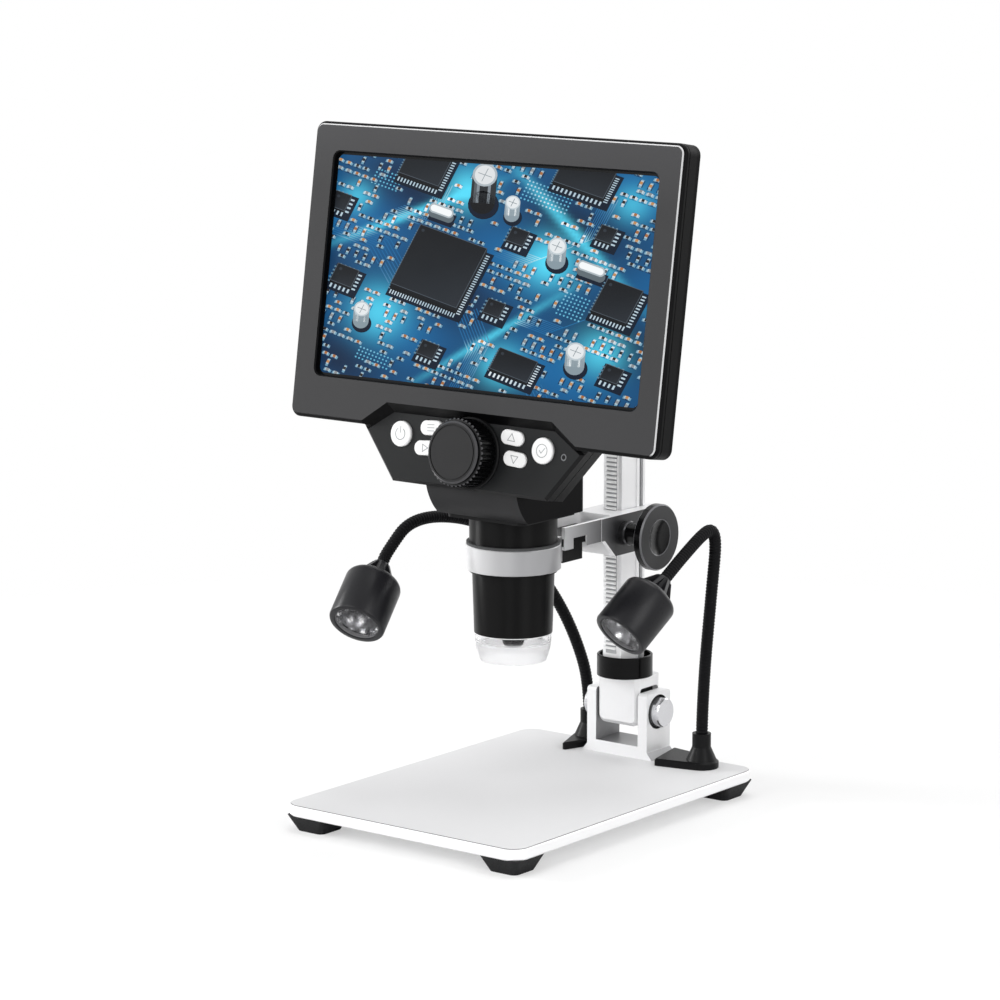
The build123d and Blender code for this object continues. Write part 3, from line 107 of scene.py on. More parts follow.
def placed(name, data, place, ahead):
    """Put a camera or a lamp into the scene, looking along a direction."""
    holder = bpy.data.objects.new(name, data)
    bpy.context.scene.collection.objects.link(holder)
    holder.location = place
    holder.rotation_euler = ahead.to_track_quat("-Z", "Y").to_euler()
    return holder


def make_camera():
    camera = bpy.data.cameras.new("camera")
    camera.sensor_width = SENSOR_WIDTH
    camera.lens = FOCAL_LENGTH
    camera.clip_end = 100.0
    azimuth, elevation = math.radians(CAMERA_AZIMUTH), math.radians(CAMERA_ELEVATION)
    level = math.cos(elevation)
    ahead = Vector((-math.sin(azimuth) * level, math.cos(azimuth) * level, -math.sin(elevation)))
    bpy.context.scene.camera = placed("camera", camera, CAMERA_PLACE, ahead)


def make_studio():
    """Softboxes in a white room that is dim to the object and white to the camera, metal and glass."""
    for name, (place, target, size, power) in SOFTBOXES.items():
        light = bpy.data.lights.new(name, "AREA")
        light.shape = "RECTANGLE"
        light.size, light.size_y = size
        light.energy = power
        placed(name, light, place, Vector(target) - Vector(place))
    world = bpy.data.worlds.new("studio")
    world.use_nodes = True
    bpy.context.scene.world = world
    tree = world.node_tree
    tree.nodes.clear()
    rays = add(tree, "LightPath")
    direct = either(rays["Is Camera Ray"], rays["Is Transmission Ray"])
    shown = either(direct, rays["Is Glossy Ray"])
    dim = add(tree, "Background", {"Color": "#FFFFFF", "Strength": ROOM_LIGHT})[0]
    white = add(tree, "Background", {"Color": "#FFFFFF", "Strength": 1.0})[0]
    room = add(tree, "MixShader", {0: shown, 1: dim, 2: white})[0]
    add(tree, "OutputWorld", {"Surface": room})
    bpy.context.scene.view_settings.view_transform = "Standard"


def make_floor():
    corners = [(-1, -1), (1, -1), (1, 1), (-1, 1)]
    points = [(x * FLOOR_REACH, y * FLOOR_REACH, 0) for x, y in corners]
    mesh_piece("floor", points, [(0, 1, 2, 3)], floor_paper())


# --------------------------- how a material is put together
MIX_A, MIX_B, MIX_OUT = 6, 7, 2   # the colour sockets of a mix node
CALM, LIVELY = 0.3, 0.7           # where most of a cloudy pattern's values lie
# the shader's sockets under plain names
SOCKETS = {"shine": "Specular IOR Level", "metal": "Metallic", "ior": "IOR", "clear": "Transmission Weight",
           "drawn": "Anisotropic", "drawn_turn": "Anisotropic Rotation", "around": "Tangent",
           "light": "Emission Color", "power": "Emission Strength"}


def paint(text):
    """Linear colour of an sRGB hex value."""
    parts = [int(text[k:k + 2], 16) / 255 for k in (1, 3, 5)]
    linear = [c / 12.92 if c <= 0.04045 else ((c + 0.055) / 1.055) ** 2.4 for c in parts]
    return (*linear, 1.0)


def add(beside, kind, inputs=None, **settings):
    """Add a node to the tree of a socket, and give its outputs.
    An input takes a number, a vector, a hex colour or the socket that feeds it."""
    tree = beside.id_data
    node = tree.nodes.new("ShaderNode" + kind)
    for name, value in settings.items():
        setattr(node, name, value)
    for name, value in (inputs or {}).items():
        if isinstance(value, bpy.types.NodeSocket):
            tree.links.new(value, node.inputs[name])
        else:
            node.inputs[name].default_value = paint(value) if isinstance(value, str) else value
    return node.outputs


def new_material(name):
    """An empty material, and the object's own coordinates in metres."""
    material = bpy.data.materials.new(name)
    material.use_nodes = True
    material.node_tree.nodes.clear()
    return material, add(material.node_tree, "TexCoord")["Object"]


def per_metre(size):
    """Texture scale for features of a size in mm."""
    return 1.0 / (size * MM)


def cloudy(place, size, detail=3.0):
    """Cloudy pattern from 0 to 1 with features of a size."""
    return add(place, "TexNoise", {"Vector": place, "Scale": per_metre(size), "Detail": detail})["Fac"]


def between(share, low, high, start=0.0, end=1.0):
    """low to high as share goes from start to end; they are numbers, hex colours or sockets of colour."""
    if isinstance(low, (int, float)):
        limits = {"From Min": start, "From Max": end, "To Min": low, "To Max": high}
        return add(share, "MapRange", {"Value": share, **limits})["Result"]
    if (start, end) != (0.0, 1.0):
        share = between(share, 0.0, 1.0, start, end)
    return add(share, "Mix", {0: share, MIX_A: low, MIX_B: high}, data_type="RGBA")[MIX_OUT]


def both(first, second):
    """1 where two masks are 1."""
    return add(first, "Math", {0: first, 1: second}, operation="MULTIPLY")[0]


def either(first, second):
    """1 where one of two masks is 1."""
    return add(first, "Math", {0: first, 1: second}, operation="MAXIMUM")[0]


def along(place, direction, origin=(0, 0, 0)):
    """Distance in metres from an origin along a direction."""
    shift = add(place, "VectorMath", {0: place, 1: origin}, operation="SUBTRACT")["Vector"]
    return add(place, "VectorMath", {0: shift, 1: direction}, operation="DOT_PRODUCT")["Value"]


def off_axis(place, origin, direction):
    """Distance in metres from the line that runs through an origin in a direction."""
    shift = add(place, "VectorMath", {0: place, 1: origin}, operation="SUBTRACT")["Vector"]
    square = add(place, "VectorMath", {0: shift, 1: direction}, operation="CROSS_PRODUCT")["Vector"]
    return add(place, "VectorMath", {0: square}, operation="LENGTH")["Value"]


def out_from_middle(place):
    """Distance in metres to the left or right of the object's middle plane."""
    return add(place, "Math", {0: along(place, RIGHT)}, operation="ABSOLUTE")[0]


def rising(value, start, end):
    """0 to 1 as a distance in metres goes from one length to another."""
    return between(value, 0.0, 1.0, start * MM, end * MM)


def band(value, low, high):
    """1 where a distance in metres lies between two lengths, else 0."""
    limits = {1: (low + high) / 2 * MM, 2: (high - low) / 2 * MM}
    return add(value, "Math", {0: value, **limits}, operation="COMPARE")[0]


def facing(place, direction, start, end):
    """0 to 1 as the surface turns towards a direction of the object's own axes."""
    normal = add(place, "TexCoord")["Normal"]
    return between(along(normal, direction), 0.0, 1.0, start, end)


def sideways(place, start=0.7, end=0.9):
    """1 where the surface looks to the left or right."""
    return either(facing(place, -RIGHT, start, end), facing(place, RIGHT, start, end))


def flank(place, low, high):
    """1 on faces that look to the left or right, between two distances from the middle plane."""
    return both(sideways(place), band(out_from_middle(place), low, high))


def flat_front(place, depth):
    """1 on a flat face that looks out as the display does, at a depth from the bezel's front."""
    level = band(along(place, SCREEN_OUT, SCREEN_CENTRE), depth - 0.1, depth + 0.1)
    return both(facing(place, SCREEN_OUT, 0.95, 0.99), level)


def finished(material, tone, gloss, relief=None, depth=0.0, **others):
    """Give a material its shader; relief is a pattern that stands out by a depth."""
    tree = material.node_tree
    inputs = {"Base Color": tone, "Roughness": gloss}
    inputs |= {SOCKETS[name]: value for name, value in others.items()}
    if relief is not None:
        inputs["Normal"] = add(tree, "Bump", {"Height": relief, "Strength": 1.0, "Distance": depth * MM})[0]
    add(tree, "OutputMaterial", {"Surface": add(tree, "BsdfPrincipled", inputs)[0]})
    return material


def plain(name, low, high, cloud, haze, smooth, rough, **others):
    """A smooth finish: tones in clouds of one size, gloss in clouds of another."""
    material, place = new_material(name)
    tone = between(cloudy(place, cloud), low, high)
    return finished(material, tone, between(cloudy(place, haze), smooth, rough), **others)


def textured(material, place, tone, smooth, rough, shine, size, depth):
    """Finish a moulded surface: a fine texture of a size and depth, which breaks up its gloss too."""
    fine = cloudy(place, size)
    return finished(material, tone, between(fine, smooth, rough, CALM, LIVELY), fine, depth, shine=shine)


# --------------------------- moulded plastic and rubber
BEZEL_SIDE, BEZEL_TOP = 84.0, 50.0        # where the bezel's painted edge highlight begins
# how far back from the front the painted edge highlight reaches
RIM_HIGHLIGHT_DEPTH = 0.48
PANEL_DEPTH = -4.0
KNOB_CENTRE = joint_place("pinion_turn")
KNOB_DISH, KNOB_FACE, KNOB_EDGE = 7.6, 12.7, 14.0
INDICATOR = on_screen(44.0, -64.5, 0)


def moulded_abs(name, low, high, roughness, shine=0.22):
    """Injection moulded ABS with a fine spark-eroded texture: a soft sheen that breaks up close by."""
    material, place = new_material(name)
    tone = between(cloudy(place, 18), low, high)
    return textured(material, place, tone, roughness - 0.05, roughness + 0.05, shine, 0.5, 0.012)


def painted_bezel():
    """ABS frame: satin grey paint on the flat front, painted lighter towards the top, a painted highlight
    along the outer edge at top and right, black sides.
    """
    material, place = new_material("painted_bezel")
    depth = along(place, SCREEN_OUT, SCREEN_CENTRE)
    height = along(place, SCREEN_UP, SCREEN_CENTRE)
    beside = rising(out_from_middle(place), BEZEL_SIDE - 0.5, BEZEL_SIDE)
    outside = either(beside, rising(height, BEZEL_TOP - 0.5, BEZEL_TOP))
    outer = both(outside, band(depth, -RIM_HIGHLIGHT_DEPTH, 0.1))
    lit = either(facing(place, SCREEN_UP, 0.25, 0.5), facing(place, RIGHT, 0.2, 0.5))
    # painted highlight: the outer edge is painted bright where it faces up or right; the other edges and the
    # sides stay near black
    rim_highlight = between(both(outer, lit), "#050506", "#DCDCDD")
    cloud = cloudy(place, 70)
    low = between(cloud, "#3E3E3F", "#434344")
    high = between(cloud, "#48484A", "#4D4D4E")
    # painted light: the flat front is painted lighter towards the top
    face = between(rising(height, 30, 55), low, high)
    tone = between(flat_front(place, 0.0), rim_highlight, face)
    return textured(material, place, tone, 0.38, 0.46, 0.08, 0.45, 0.008)


def panel_shell():
    """Textured black ABS control panel: dark grey face, blacker chamfers and shoulders."""
    material, place = new_material("panel_shell_abs")
    edge = between(facing(place, SCREEN_OUT, 0.5, 0.7), "#050506", "#121213")
    face = between(cloudy(place, 40), "#1A1B1C", "#202122")
    tone = between(flat_front(place, PANEL_DEPTH), edge, face)
    return textured(material, place, tone, 0.36, 0.44, 0.15, 0.45, 0.008)


def back_shell():
    """Black ABS back: spark-eroded, with a soft sheen; its rear face is lighter than its near-black rim."""
    material, place = new_material("back_shell_abs")
    broad = between(cloudy(place, 30), "#1E1E1F", "#252526")
    tone = between(facing(place, REAR, 0.4, 0.9), "#040405", broad)
    return textured(material, place, tone, 0.36, 0.46, 0.05, 0.8, 0.03)


def chin_shell():
    """Textured black ABS with painted light: its curved front is painted lighter than its near-black sides.
    """
    material, place = new_material("chin_shell_abs")
    broad = between(cloudy(place, 30), "#313132", "#383839")
    # painted light: lighter where the surface faces the front
    tone = between(facing(place, -REAR, 0.55, 0.8), "#050506", broad)
    return textured(material, place, tone, 0.38, 0.46, 0.05, 0.45, 0.008)


def fluted_knob():
    """Black ABS knob: satin grey face, glossy black flutes that catch glints, and a painted highlight: a
    light line round the face's bevel.
    """
    material, place = new_material("fluted_knob_abs")
    face = facing(place, SCREEN_OUT, 0.93, 0.98)
    # painted highlight: the bevel between face and flutes is painted light grey, the flutes near black
    body = between(facing(place, SCREEN_OUT, 0.4, 0.6), "#060607", "#4A4A4C")
    tone = between(face, body, between(cloudy(place, 14), "#272728", "#2C2C2D"))
    return finished(material, tone, between(face, 0.24, 0.38), cloudy(place, 0.5), 0.004, shine=0.15)


def disc_knob():
    """Black ABS knob: matt grey face ring, glossy dished middle and glossy black edge, with a painted
    highlight on the slopes at the dish's rim and the outer edge.
    """
    material, place = new_material("disc_knob_abs")
    radius = off_axis(place, KNOB_CENTRE, RIGHT)
    ring = both(sideways(place), band(radius, KNOB_DISH, KNOB_FACE))
    slope = both(sideways(place, 0.25, 0.4), between(sideways(place, 0.9, 0.98), 1.0, 0.0))
    # painted highlight: slanted faces near the dish's rim and the outer edge are painted light grey
    edge_highlight = both(slope, band(radius, KNOB_DISH - 0.6, KNOB_EDGE))
    face = between(cloudy(place, 12), "#343435", "#3B3B3C")
    tone = between(ring, between(edge_highlight, "#060607", "#77777A"), face)
    return finished(material, tone, between(ring, 0.2, 0.42), cloudy(place, 0.5), 0.004, shine=0.25)


def indicator_lens():
    """Smoked indicator lens: nearly black middle, and a painted highlight that makes its rounded rim lighter.
    """
    material, place = new_material("smoked_indicator_lens")
    # painted highlight: a lighter ring painted round the middle
    rim_highlight = band(off_axis(place, INDICATOR, SCREEN_OUT), 0.85, 1.35)
    shade = between(cloudy(place, 1.5), "#6E7072", "#7E8082")
    return finished(material, between(rim_highlight, "#050506", shade), between(rim_highlight, 0.15, 0.3), shine=0.3)


def rubber(name, colour, lift, roughness=0.62, shine=0.25):
    """Moulded rubber: dull, a little greyer where it has been handled."""
    material, place = new_material(name)
    tone = between(cloudy(place, 7), colour, lift)
    return textured(material, place, tone, roughness - 0.08, roughness + 0.08, shine, 0.6, 0.02)


# --------------------------- metal
PIVOT = joint_place("column_tilt")
CHEEK_INNER, CHEEK_OUTER = 10.5, 15.0     # the bracket's cheeks, out from the middle
CHEEK_LEAN = (0.77, 0, 0.64)              # which way the right cheek's flared foot looks
BOLT_HOLE = 7.1
BLOCK_HALF, POCKET_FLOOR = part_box("tilt_block")[1][0] / MM, 7.6
ARM_HALF, ARM_FRONT, WINDOW_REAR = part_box("carriage")[1][0] / MM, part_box("carriage")[0][1] / MM, 47.4
GROOVE_FLOOR = 3.15
RACK_ROOT = 58.3
EDGE_LINE = 0.2


def bracket_shade(place, tone):
    """Painted shade: the inner cheeks, the web, the tops of the flared feet and the bolts' counterbores are
    painted darker than the polished outside.
    """
    out = out_from_middle(place)
    # painted shade: the web darker to the left and lighter to the right, the inner cheeks grey
    across = rising(along(place, RIGHT), -CHEEK_INNER, CHEEK_INNER)
    web = both(facing(place, UP, 0.8, 0.95), band(out, 0, CHEEK_INNER))
    tone = between(web, tone, between(across, "#5E5E60", "#B5B5B7"))
    tone = between(flank(place, 0, CHEEK_INNER + 0.1), tone, "#858587")
    # painted shade: the flared feet's sloping tops grey
    x, y, z = CHEEK_LEAN
    lean = either(facing(place, (x, y, z), 0.9, 0.98), facing(place, (-x, y, z), 0.9, 0.98))
    flare = both(lean, band(out, CHEEK_OUTER + 0.05, CHEEK_OUTER + 3.0))
    tone = between(flare, tone, "#98989A")
    # painted shade: the counterbores near black
    hole = band(off_axis(place, PIVOT, RIGHT), 0, BOLT_HOLE + 0.05)
    bore = both(hole, band(out, CHEEK_INNER + 0.2, CHEEK_OUTER - 0.1))
    return between(bore, tone, "#161617")


def block_shade(place, tone):
    """Painted shade: the side pockets are painted dark."""
    return between(flank(place, POCKET_FLOOR - 0.1, BLOCK_HALF - 0.1), tone, "#1B1B1D")


def carriage_shade(place, tone):
    """Painted reflection: the flanks are painted grey at the front and nearly black beside the bushes, as if
    they mirrored the dark knobs.
    """
    side = band(out_from_middle(place), ARM_HALF - 0.4, ARM_HALF + 0.1)
    shade = between(rising(along(place, REAR), ARM_FRONT, WINDOW_REAR), "#C4C4C6", "#2E2E30")
    return between(both(sideways(place, 0.9, 0.97), side), tone, shade)


def column_shade(place, tone):
    """The side grooves fall into shadow."""
    return between(flank(place, GROOVE_FLOOR - 0.25, GROOVE_FLOOR + 0.25), tone, "#4C5154")


def rack_shade(place, tone):
    """Painted shade: the roots of the milled teeth are painted darker."""
    root = band(along(place, REAR), RACK_ROOT - 0.35, RACK_ROOT + 0.1)
    return between(root, tone, "#A6A7A9")


def ring_shade(place, tone):
    """Turned ring with painted shade: pale on the left, a soft grey sweep painted round its right."""
    return between(facing(place, (0.97, -0.26, 0), -0.45, 0.9), tone, "#A2A2A4")


def anodised_aluminium(name, low, high, shade, roughness=0.35, metal=0.2):
    """Aluminium, bead blasted and anodised: pale, soft reflections, faint draw lines.
    shade paints shade and reflections into the colour: darker recesses, a grey sweep, and faces that would
    mirror the black parts around them."""
    material, place = new_material(name)
    drawn = add(place, "Mapping", {"Vector": place, "Scale": (1, 1, 0.15)})["Vector"]
    streaks = cloudy(drawn, 0.25, 2.0)
    tone = shade(place, between(streaks, low, high))
    gloss = between(streaks, roughness - 0.02, roughness + 0.02, CALM, LIVELY)
    return finished(material, tone, gloss, cloudy(place, 0.3), 0.003, metal=metal)


def stage_plate():
    """Steel plate: powder-fine satin top, milled bright edge with a fine dark line where the two meet."""
    material, place = new_material("satin_steel_plate")
    top = facing(place, UP, 0.8, 0.98)
    corner = band(along(place, UP), STAGE_TOP - EDGE_LINE, STAGE_TOP + 0.1)
    edge = between(corner, "#FAFAFB", "#5A5A5B")
    tone = between(top, edge, between(cloudy(place, 90), "#DEDEDF", "#E4E4E5"))
    gloss, metal = between(top, 0.3, 0.7), between(top, 0.25, 0.05)
    return finished(material, tone, gloss, cloudy(place, 0.35), 0.003, metal=metal, shine=0.3)


def turned_steel(name, colour, roughness):
    """Plated steel turned on a lathe: bright, with faint rings."""
    material, place = new_material(name)
    rings = add(place, "TexWave", {"Vector": place, "Scale": per_metre(0.9), "Distortion": 1.5})["Fac"]
    gloss = between(rings, roughness - 0.05, roughness + 0.05)
    return finished(material, colour, gloss, rings, 0.002, metal=0.8)


def polished_black():
    """Black anodising polished smooth: deep black that mirrors the softboxes."""
    material, place = new_material("polished_collar_black")
    cloud = cloudy(place, 25)
    gloss = between(cloud, 0.13, 0.19, CALM, LIVELY)
    return finished(material, between(cloud, "#030303", "#0A0A0B"), gloss, shine=0.12)


def turned_black():
    """Black anodised barrel, finished on a lathe: its rings draw each softbox out into an upright band."""
    material, place = new_material("turned_black_anodising")
    cloud = cloudy(place, 25)
    tone, gloss = between(cloud, "#030303", "#070708"), between(cloud, 0.36, 0.42, CALM, LIVELY)
    around = add(place, "Tangent", direction_type="RADIAL", axis="Z")["Tangent"]
    return finished(material, tone, gloss, shine=0.12, drawn=0.9, drawn_turn=0.25, around=around)


def chromed_bowl(side):
    """Vacuum-metallised reflector with a painted reflection: bright and dark facets painted into its colour,
    darker round the LED where it would mirror itself.
    """
    material, place = new_material(f"{side}_metallised_reflector")
    cells = add(place, "TexVoronoi", {"Vector": place, "Scale": per_metre(3.4)})["Distance"]
    facets = add(place, "TexVoronoi", {"Vector": place, "Scale": per_metre(2.2)})["Distance"]
    # painted reflection: bright and dark facets
    painted_reflection = between(cells, "#FFFFFF", "#A8A8AC", 0.22, 0.4)
    painted_reflection = between(cells, painted_reflection, "#5C5C5F", 0.4, 0.62)
    start, ahead, *_ = lamp_frame(side)
    # painted reflection: deep round the LED the bowl is painted dark
    bright = rising(along(place, ahead, start), 22.5, 27.5)
    tone = between(bright, "#2C2C2F", painted_reflection)
    return finished(material, tone, between(facets, 0.14, 0.3), facets, 0.35, metal=0.8)


# --------------------------- clear parts, boards and light
NOSE_CLEAR = 4.0
NOSE_LIP = 0.35


def frosted_acrylic():
    """Acrylic nose: nearly clear next to the barrel, where the lens shows, and frosted white below."""
    material, place = new_material("frosted_acrylic")
    height = along(place, UP, UP * BARREL_FOOT * MM)
    near = between(height, 0.6, 0.99, -NOSE_CLEAR * MM, -NOSE_CLEAR * 0.6 * MM)
    clear = both(near, between(band(height, -NOSE_LIP, 0.05), 1.0, 0.0))
    gloss = between(near, 0.3, 0.1, 0.6, 0.99)
    return finished(material, "#FDFDFE", gloss, cloudy(place, 0.5), 0.003, clear=clear, ior=1.2)


def clear_acrylic(name, colour, roughness=0.03, ior=1.45):
    """Clear polished acrylic or coated glass."""
    material, place = new_material(name)
    gloss = between(cloudy(place, 2.0), roughness, roughness + 0.03)
    return finished(material, colour, gloss, clear=1.0, ior=ior)


def circuit_board():
    """Solder mask over copper: green with faint paler tracks."""
    material, place = new_material("green_solder_mask")
    tracks = add(place, "TexBrick", {"Vector": place, "Scale": per_metre(3.0), "Mortar Size": 0.06})["Fac"]
    return finished(material, between(tracks, "#0F4A27", "#2C7445"), between(cloudy(place, 2.0), 0.3, 0.42))


def lit_picture():
    """The display's own light: each part of the picture keeps the colour it is drawn in."""
    material, place = new_material("lit_display_picture")
    drawn = add(place, "Attribute", attribute_name="tint", attribute_type="GEOMETRY")["Color"]
    gloss = between(cloudy(place, 12), 0.3, 0.36)
    return finished(material, "#020203", gloss, shine=0.1, light=drawn, power=1.0)


def floor_paper():
    """White paper sweep; it takes the shadow and runs out into the white background."""
    material, place = new_material("white_sweep_paper")
    tone = between(cloudy(place, 60), "#F6F6F6", "#FFFFFF")
    matt = add(place, "BsdfDiffuse", {"Color": tone})[0]
    glowing = add(place, "Emission", {"Color": "#FFFFFF", "Strength": 1.0})[0]
    seen = both(add(place, "LightPath")["Is Camera Ray"], FLOOR_GLOW)
    paper = add(place, "MixShader", {0: seen, 1: matt, 2: glowing})[0]
    clear = add(place, "BsdfTransparent")[0]
    reach = add(place, "VectorMath", {0: place}, operation="LENGTH")["Value"]
    sweep = add(place, "MixShader", {0: rising(reach, 160, 500), 1: paper, 2: clear})[0]
    add(place, "OutputMaterial", {"Surface": sweep})
    return material


# --------------------------- meshes
def mesh_piece(name, points, faces, material, smooth=False):
    mesh = bpy.data.meshes.new(name)
    mesh.from_pydata([tuple(p) for p in points], [], faces)
    mesh.materials.append(material)
    for face in mesh.polygons:
        face.use_smooth = smooth
    piece = bpy.data.objects.new(name, mesh)
    bpy.context.scene.collection.objects.link(piece)
    return piece


def circle(centre, across, other, radius, count):
    """Places on a circle that lies in two directions; its radius is in metres."""
    angles = [2 * math.pi * k / count for k in range(count)]
    return [centre + (across * math.cos(angle) + other * math.sin(angle)) * radius for angle in angles]


def turned_points(start, ahead, across, other, profile, count):
    """Rings of a turned form whose profile gives radius and distance along ahead."""
    points = []
    for radius, reach in profile:
        points += circle(start + ahead * reach * MM, across, other, radius * MM, count)
    return points


def ring_faces(rows, count, closed=False):
    """Faces between rows of rings; closed joins the last row to the first."""
    faces = []
    for row in range(rows if closed else rows - 1):
        here, there = row * count, (row + 1) % rows * count
        for k in range(count):
            after = (k + 1) % count
            faces.append((here + k, here + after, there + after, there + k))
    return faces


def block_faces(first):
    """Top and sides of a block: four points of its base and then four of its top, from number first."""
    sides = [(k, (k + 1) % 4, 4 + (k + 1) % 4, 4 + k) for k in range(4)]
    return [tuple(first + k for k in face) for face in [(4, 5, 6, 7)] + sides]


def sharpen(piece, degrees):
    """Smooth shading that keeps the edges sharper than an angle."""
    piece.data.shade_smooth()
    piece.data.set_sharp_from_angle(angle=math.radians(degrees))


# --------------------------- display picture
# The drawn board is seen at a slant: how a step to the right, away or up shows on the display.
BOARD_RIGHT, BOARD_AWAY, BOARD_RISE = (0.93, -0.20), (0.36, 0.70), 0.72
DISC_SQUASH = 0.74
PICTURE_DEPTH = -2.14
PICTURE_HALF = (77.1, 42.95)
PICTURE_CORNER = 2.4
PICTURE_CELLS = (96, 54)
LAYER_STEP = 0.004
TRACK_LAYER, VIA_LAYER, SMALL_LAYER, CRYSTAL_LAYER, CHIP_LAYER, CAN_LAYER = 1, 2, 3, 7, 11, 17
# across, up, size and strength of each pool of light
LIGHT_POOLS = [(-50, -17, 15, 0.8), (-12, 33, 12, 0.9), (30, 8, 14, 1.0), (58, -24, 13, 0.75),
               (-66, 27, 9, 0.6), (12, -33, 12, 0.8), (66, 32, 10, 0.55)]
# start, direction, width and strength of each streak of light
LIGHT_STREAKS = [((-77, 8), (0.94, 0.34), 1.6, 0.9), ((8, 44), (0.80, -0.60), 2.2, 0.8),
                 ((-30, -43), (0.86, 0.5), 1.4, 0.7)]
# centre a, centre b, width, depth, height and pins per side of each package
CHIPS = [(-22, -6, 36, 34, 3.6, 26), (-52, 42, 22, 18, 2.6, 13), (64, 10, 18, 18, 2.4, 11),
         (34, -38, 20, 12, 2.0, 9), (-64, -26, 12, 10, 1.8, 5), (22, 62, 26, 14, 2.4, 12),
         (6, 24, 9, 8, 1.5, 4), (44, 40, 8, 8, 1.4, 4), (-84, 10, 9, 9, 1.5, 4),
         (78, -24, 9, 8, 1.5, 4), (-8, -46, 9, 8, 1.5, 4), (12, -14, 9, 8, 1.4, 4)]
PACKAGE_TOP = ("#1B2026", "#262C33", "#12161B", "#0C0F13")
# centre a, centre b, radius, height, and the tints of body, shine and top of each can
CANS = [(-18, 35, 6.0, 15.0, "#0B0D10", "#8A949C", "#AEB8BE"),
        (-2, 34, 3.6, 7.0, "#8A9AA4", "#F2F7F9", "#C3CED4"),
        (28, 20, 4.4, 8.0, "#8798A2", "#F2F7F9", "#C3CED4"),
        (60, -26, 4.6, 8.0, "#8797A0", "#EFF5F7", "#C0CBD1"),
        (-46, -44, 4.0, 7.0, "#8797A0", "#EFF5F7", "#C0CBD1")]
# route, number of tracks and pitch of each bundle
BUNDLES = [([(-4, -24), (10, -38), (10, -70)], 9, 1.3), ([(-2, 12), (14, 12), (34, 32), (34, 52)], 8, 1.3),
           ([(56, 0), (40, -16), (24, -16)], 8, 1.2), ([(-42, -20), (-60, -6), (-92, -6)], 8, 1.5),
           ([(-42, 32), (-42, 14), (-60, 14)], 7, 1.4), ([(74, 18), (90, 34), (110, 34)], 8, 1.4),
           ([(44, -46), (60, -60), (90, -60)], 6, 1.5), ([(-74, -30), (-90, -44), (-90, -70)], 7, 1.4),
           ([(0, 60), (-20, 70), (-60, 70)], 6, 1.5)]
TRACK_WIDTH, TRACK_SHIFT = 0.42, 0.75     # the shift both ways of each next track, in pitches
TRACK_STRETCH = 7                 # how much of a track takes one pair of tints
# first a and b, columns and rows of each field of vias
VIA_FIELDS = [(-2, 44, 13, 6), (40, -4, 7, 7), (-74, 26, 8, 5), (-40, -62, 10, 4)]
VIA_PITCH, VIA_RADIUS = 1.9, 0.48
# left, right, near and far side of the places where vias keep the small parts away
VIA_CLEARINGS = [(-4, 24, 42, 57), (38, 54, -6, 10)]
# centre a, centre b, length and height of each crystal
CRYSTALS = [(46, 20, 9, 3.0), (-34, 22, 8, 2.6)]
# columns and rows of small parts each way from the middle, their pitches, and every other row's shift
PART_GRID, PART_PITCH, PART_SHIFT = (27, 24), (4.7, 3.9), 1.6
PART_SIZE, PAD_SIZE, PAD_OUT = (2.6, 1.35), (1.3, 1.5), 1.3225
PART_TINTS = ("#A86B38", "#1F1B19", "#C08A55", "#2A2624", "#8A8F92")


def board_point(a, b, rise=0.0):
    """Where a place on the drawn board (a to the right, b away, rise up) shows on the display."""
    x = a * BOARD_RIGHT[0] + b * BOARD_AWAY[0]
    return (x, a * BOARD_RIGHT[1] + b * BOARD_AWAY[1] + rise * BOARD_RISE)


def glow(x, up):
    """How strongly the drawn board is lit at a place, 0 to 1."""
    light = 0.0
    for cx, cy, size, strength in LIGHT_POOLS:
        light += strength * math.exp(-((x - cx) ** 2 + (up - cy) ** 2 * 1.8) / (2 * (size * 0.6) ** 2))
    for start, run, width, strength in LIGHT_STREAKS:
        reach = (x - start[0]) * run[0] + (up - start[1]) * run[1]
        off = (up - start[1]) * run[0] - (x - start[0]) * run[1]
        light += strength * math.exp(-((reach - 40) / 34) ** 2 - (off / width) ** 2)
    return min(1.0, light)


def blended(low, high, share):
    """Tint between two tints, each a hex value or a linear colour."""
    low, high = (paint(tint) if isinstance(tint, str) else tint for tint in (low, high))
    return tuple(u + (v - u) * share for u, v in zip(low, high))


def ground_tint(x, up):
    """Blue solder mask: broad dark and light areas, cyan where it is lit."""
    share = 0.5 + 0.5 * math.sin(x * 0.055 + up * 0.11) * math.cos(x * 0.031 - up * 0.06)
    return blended(blended("#052545", "#0E639C", share), "#56DDFB", glow(x, up))


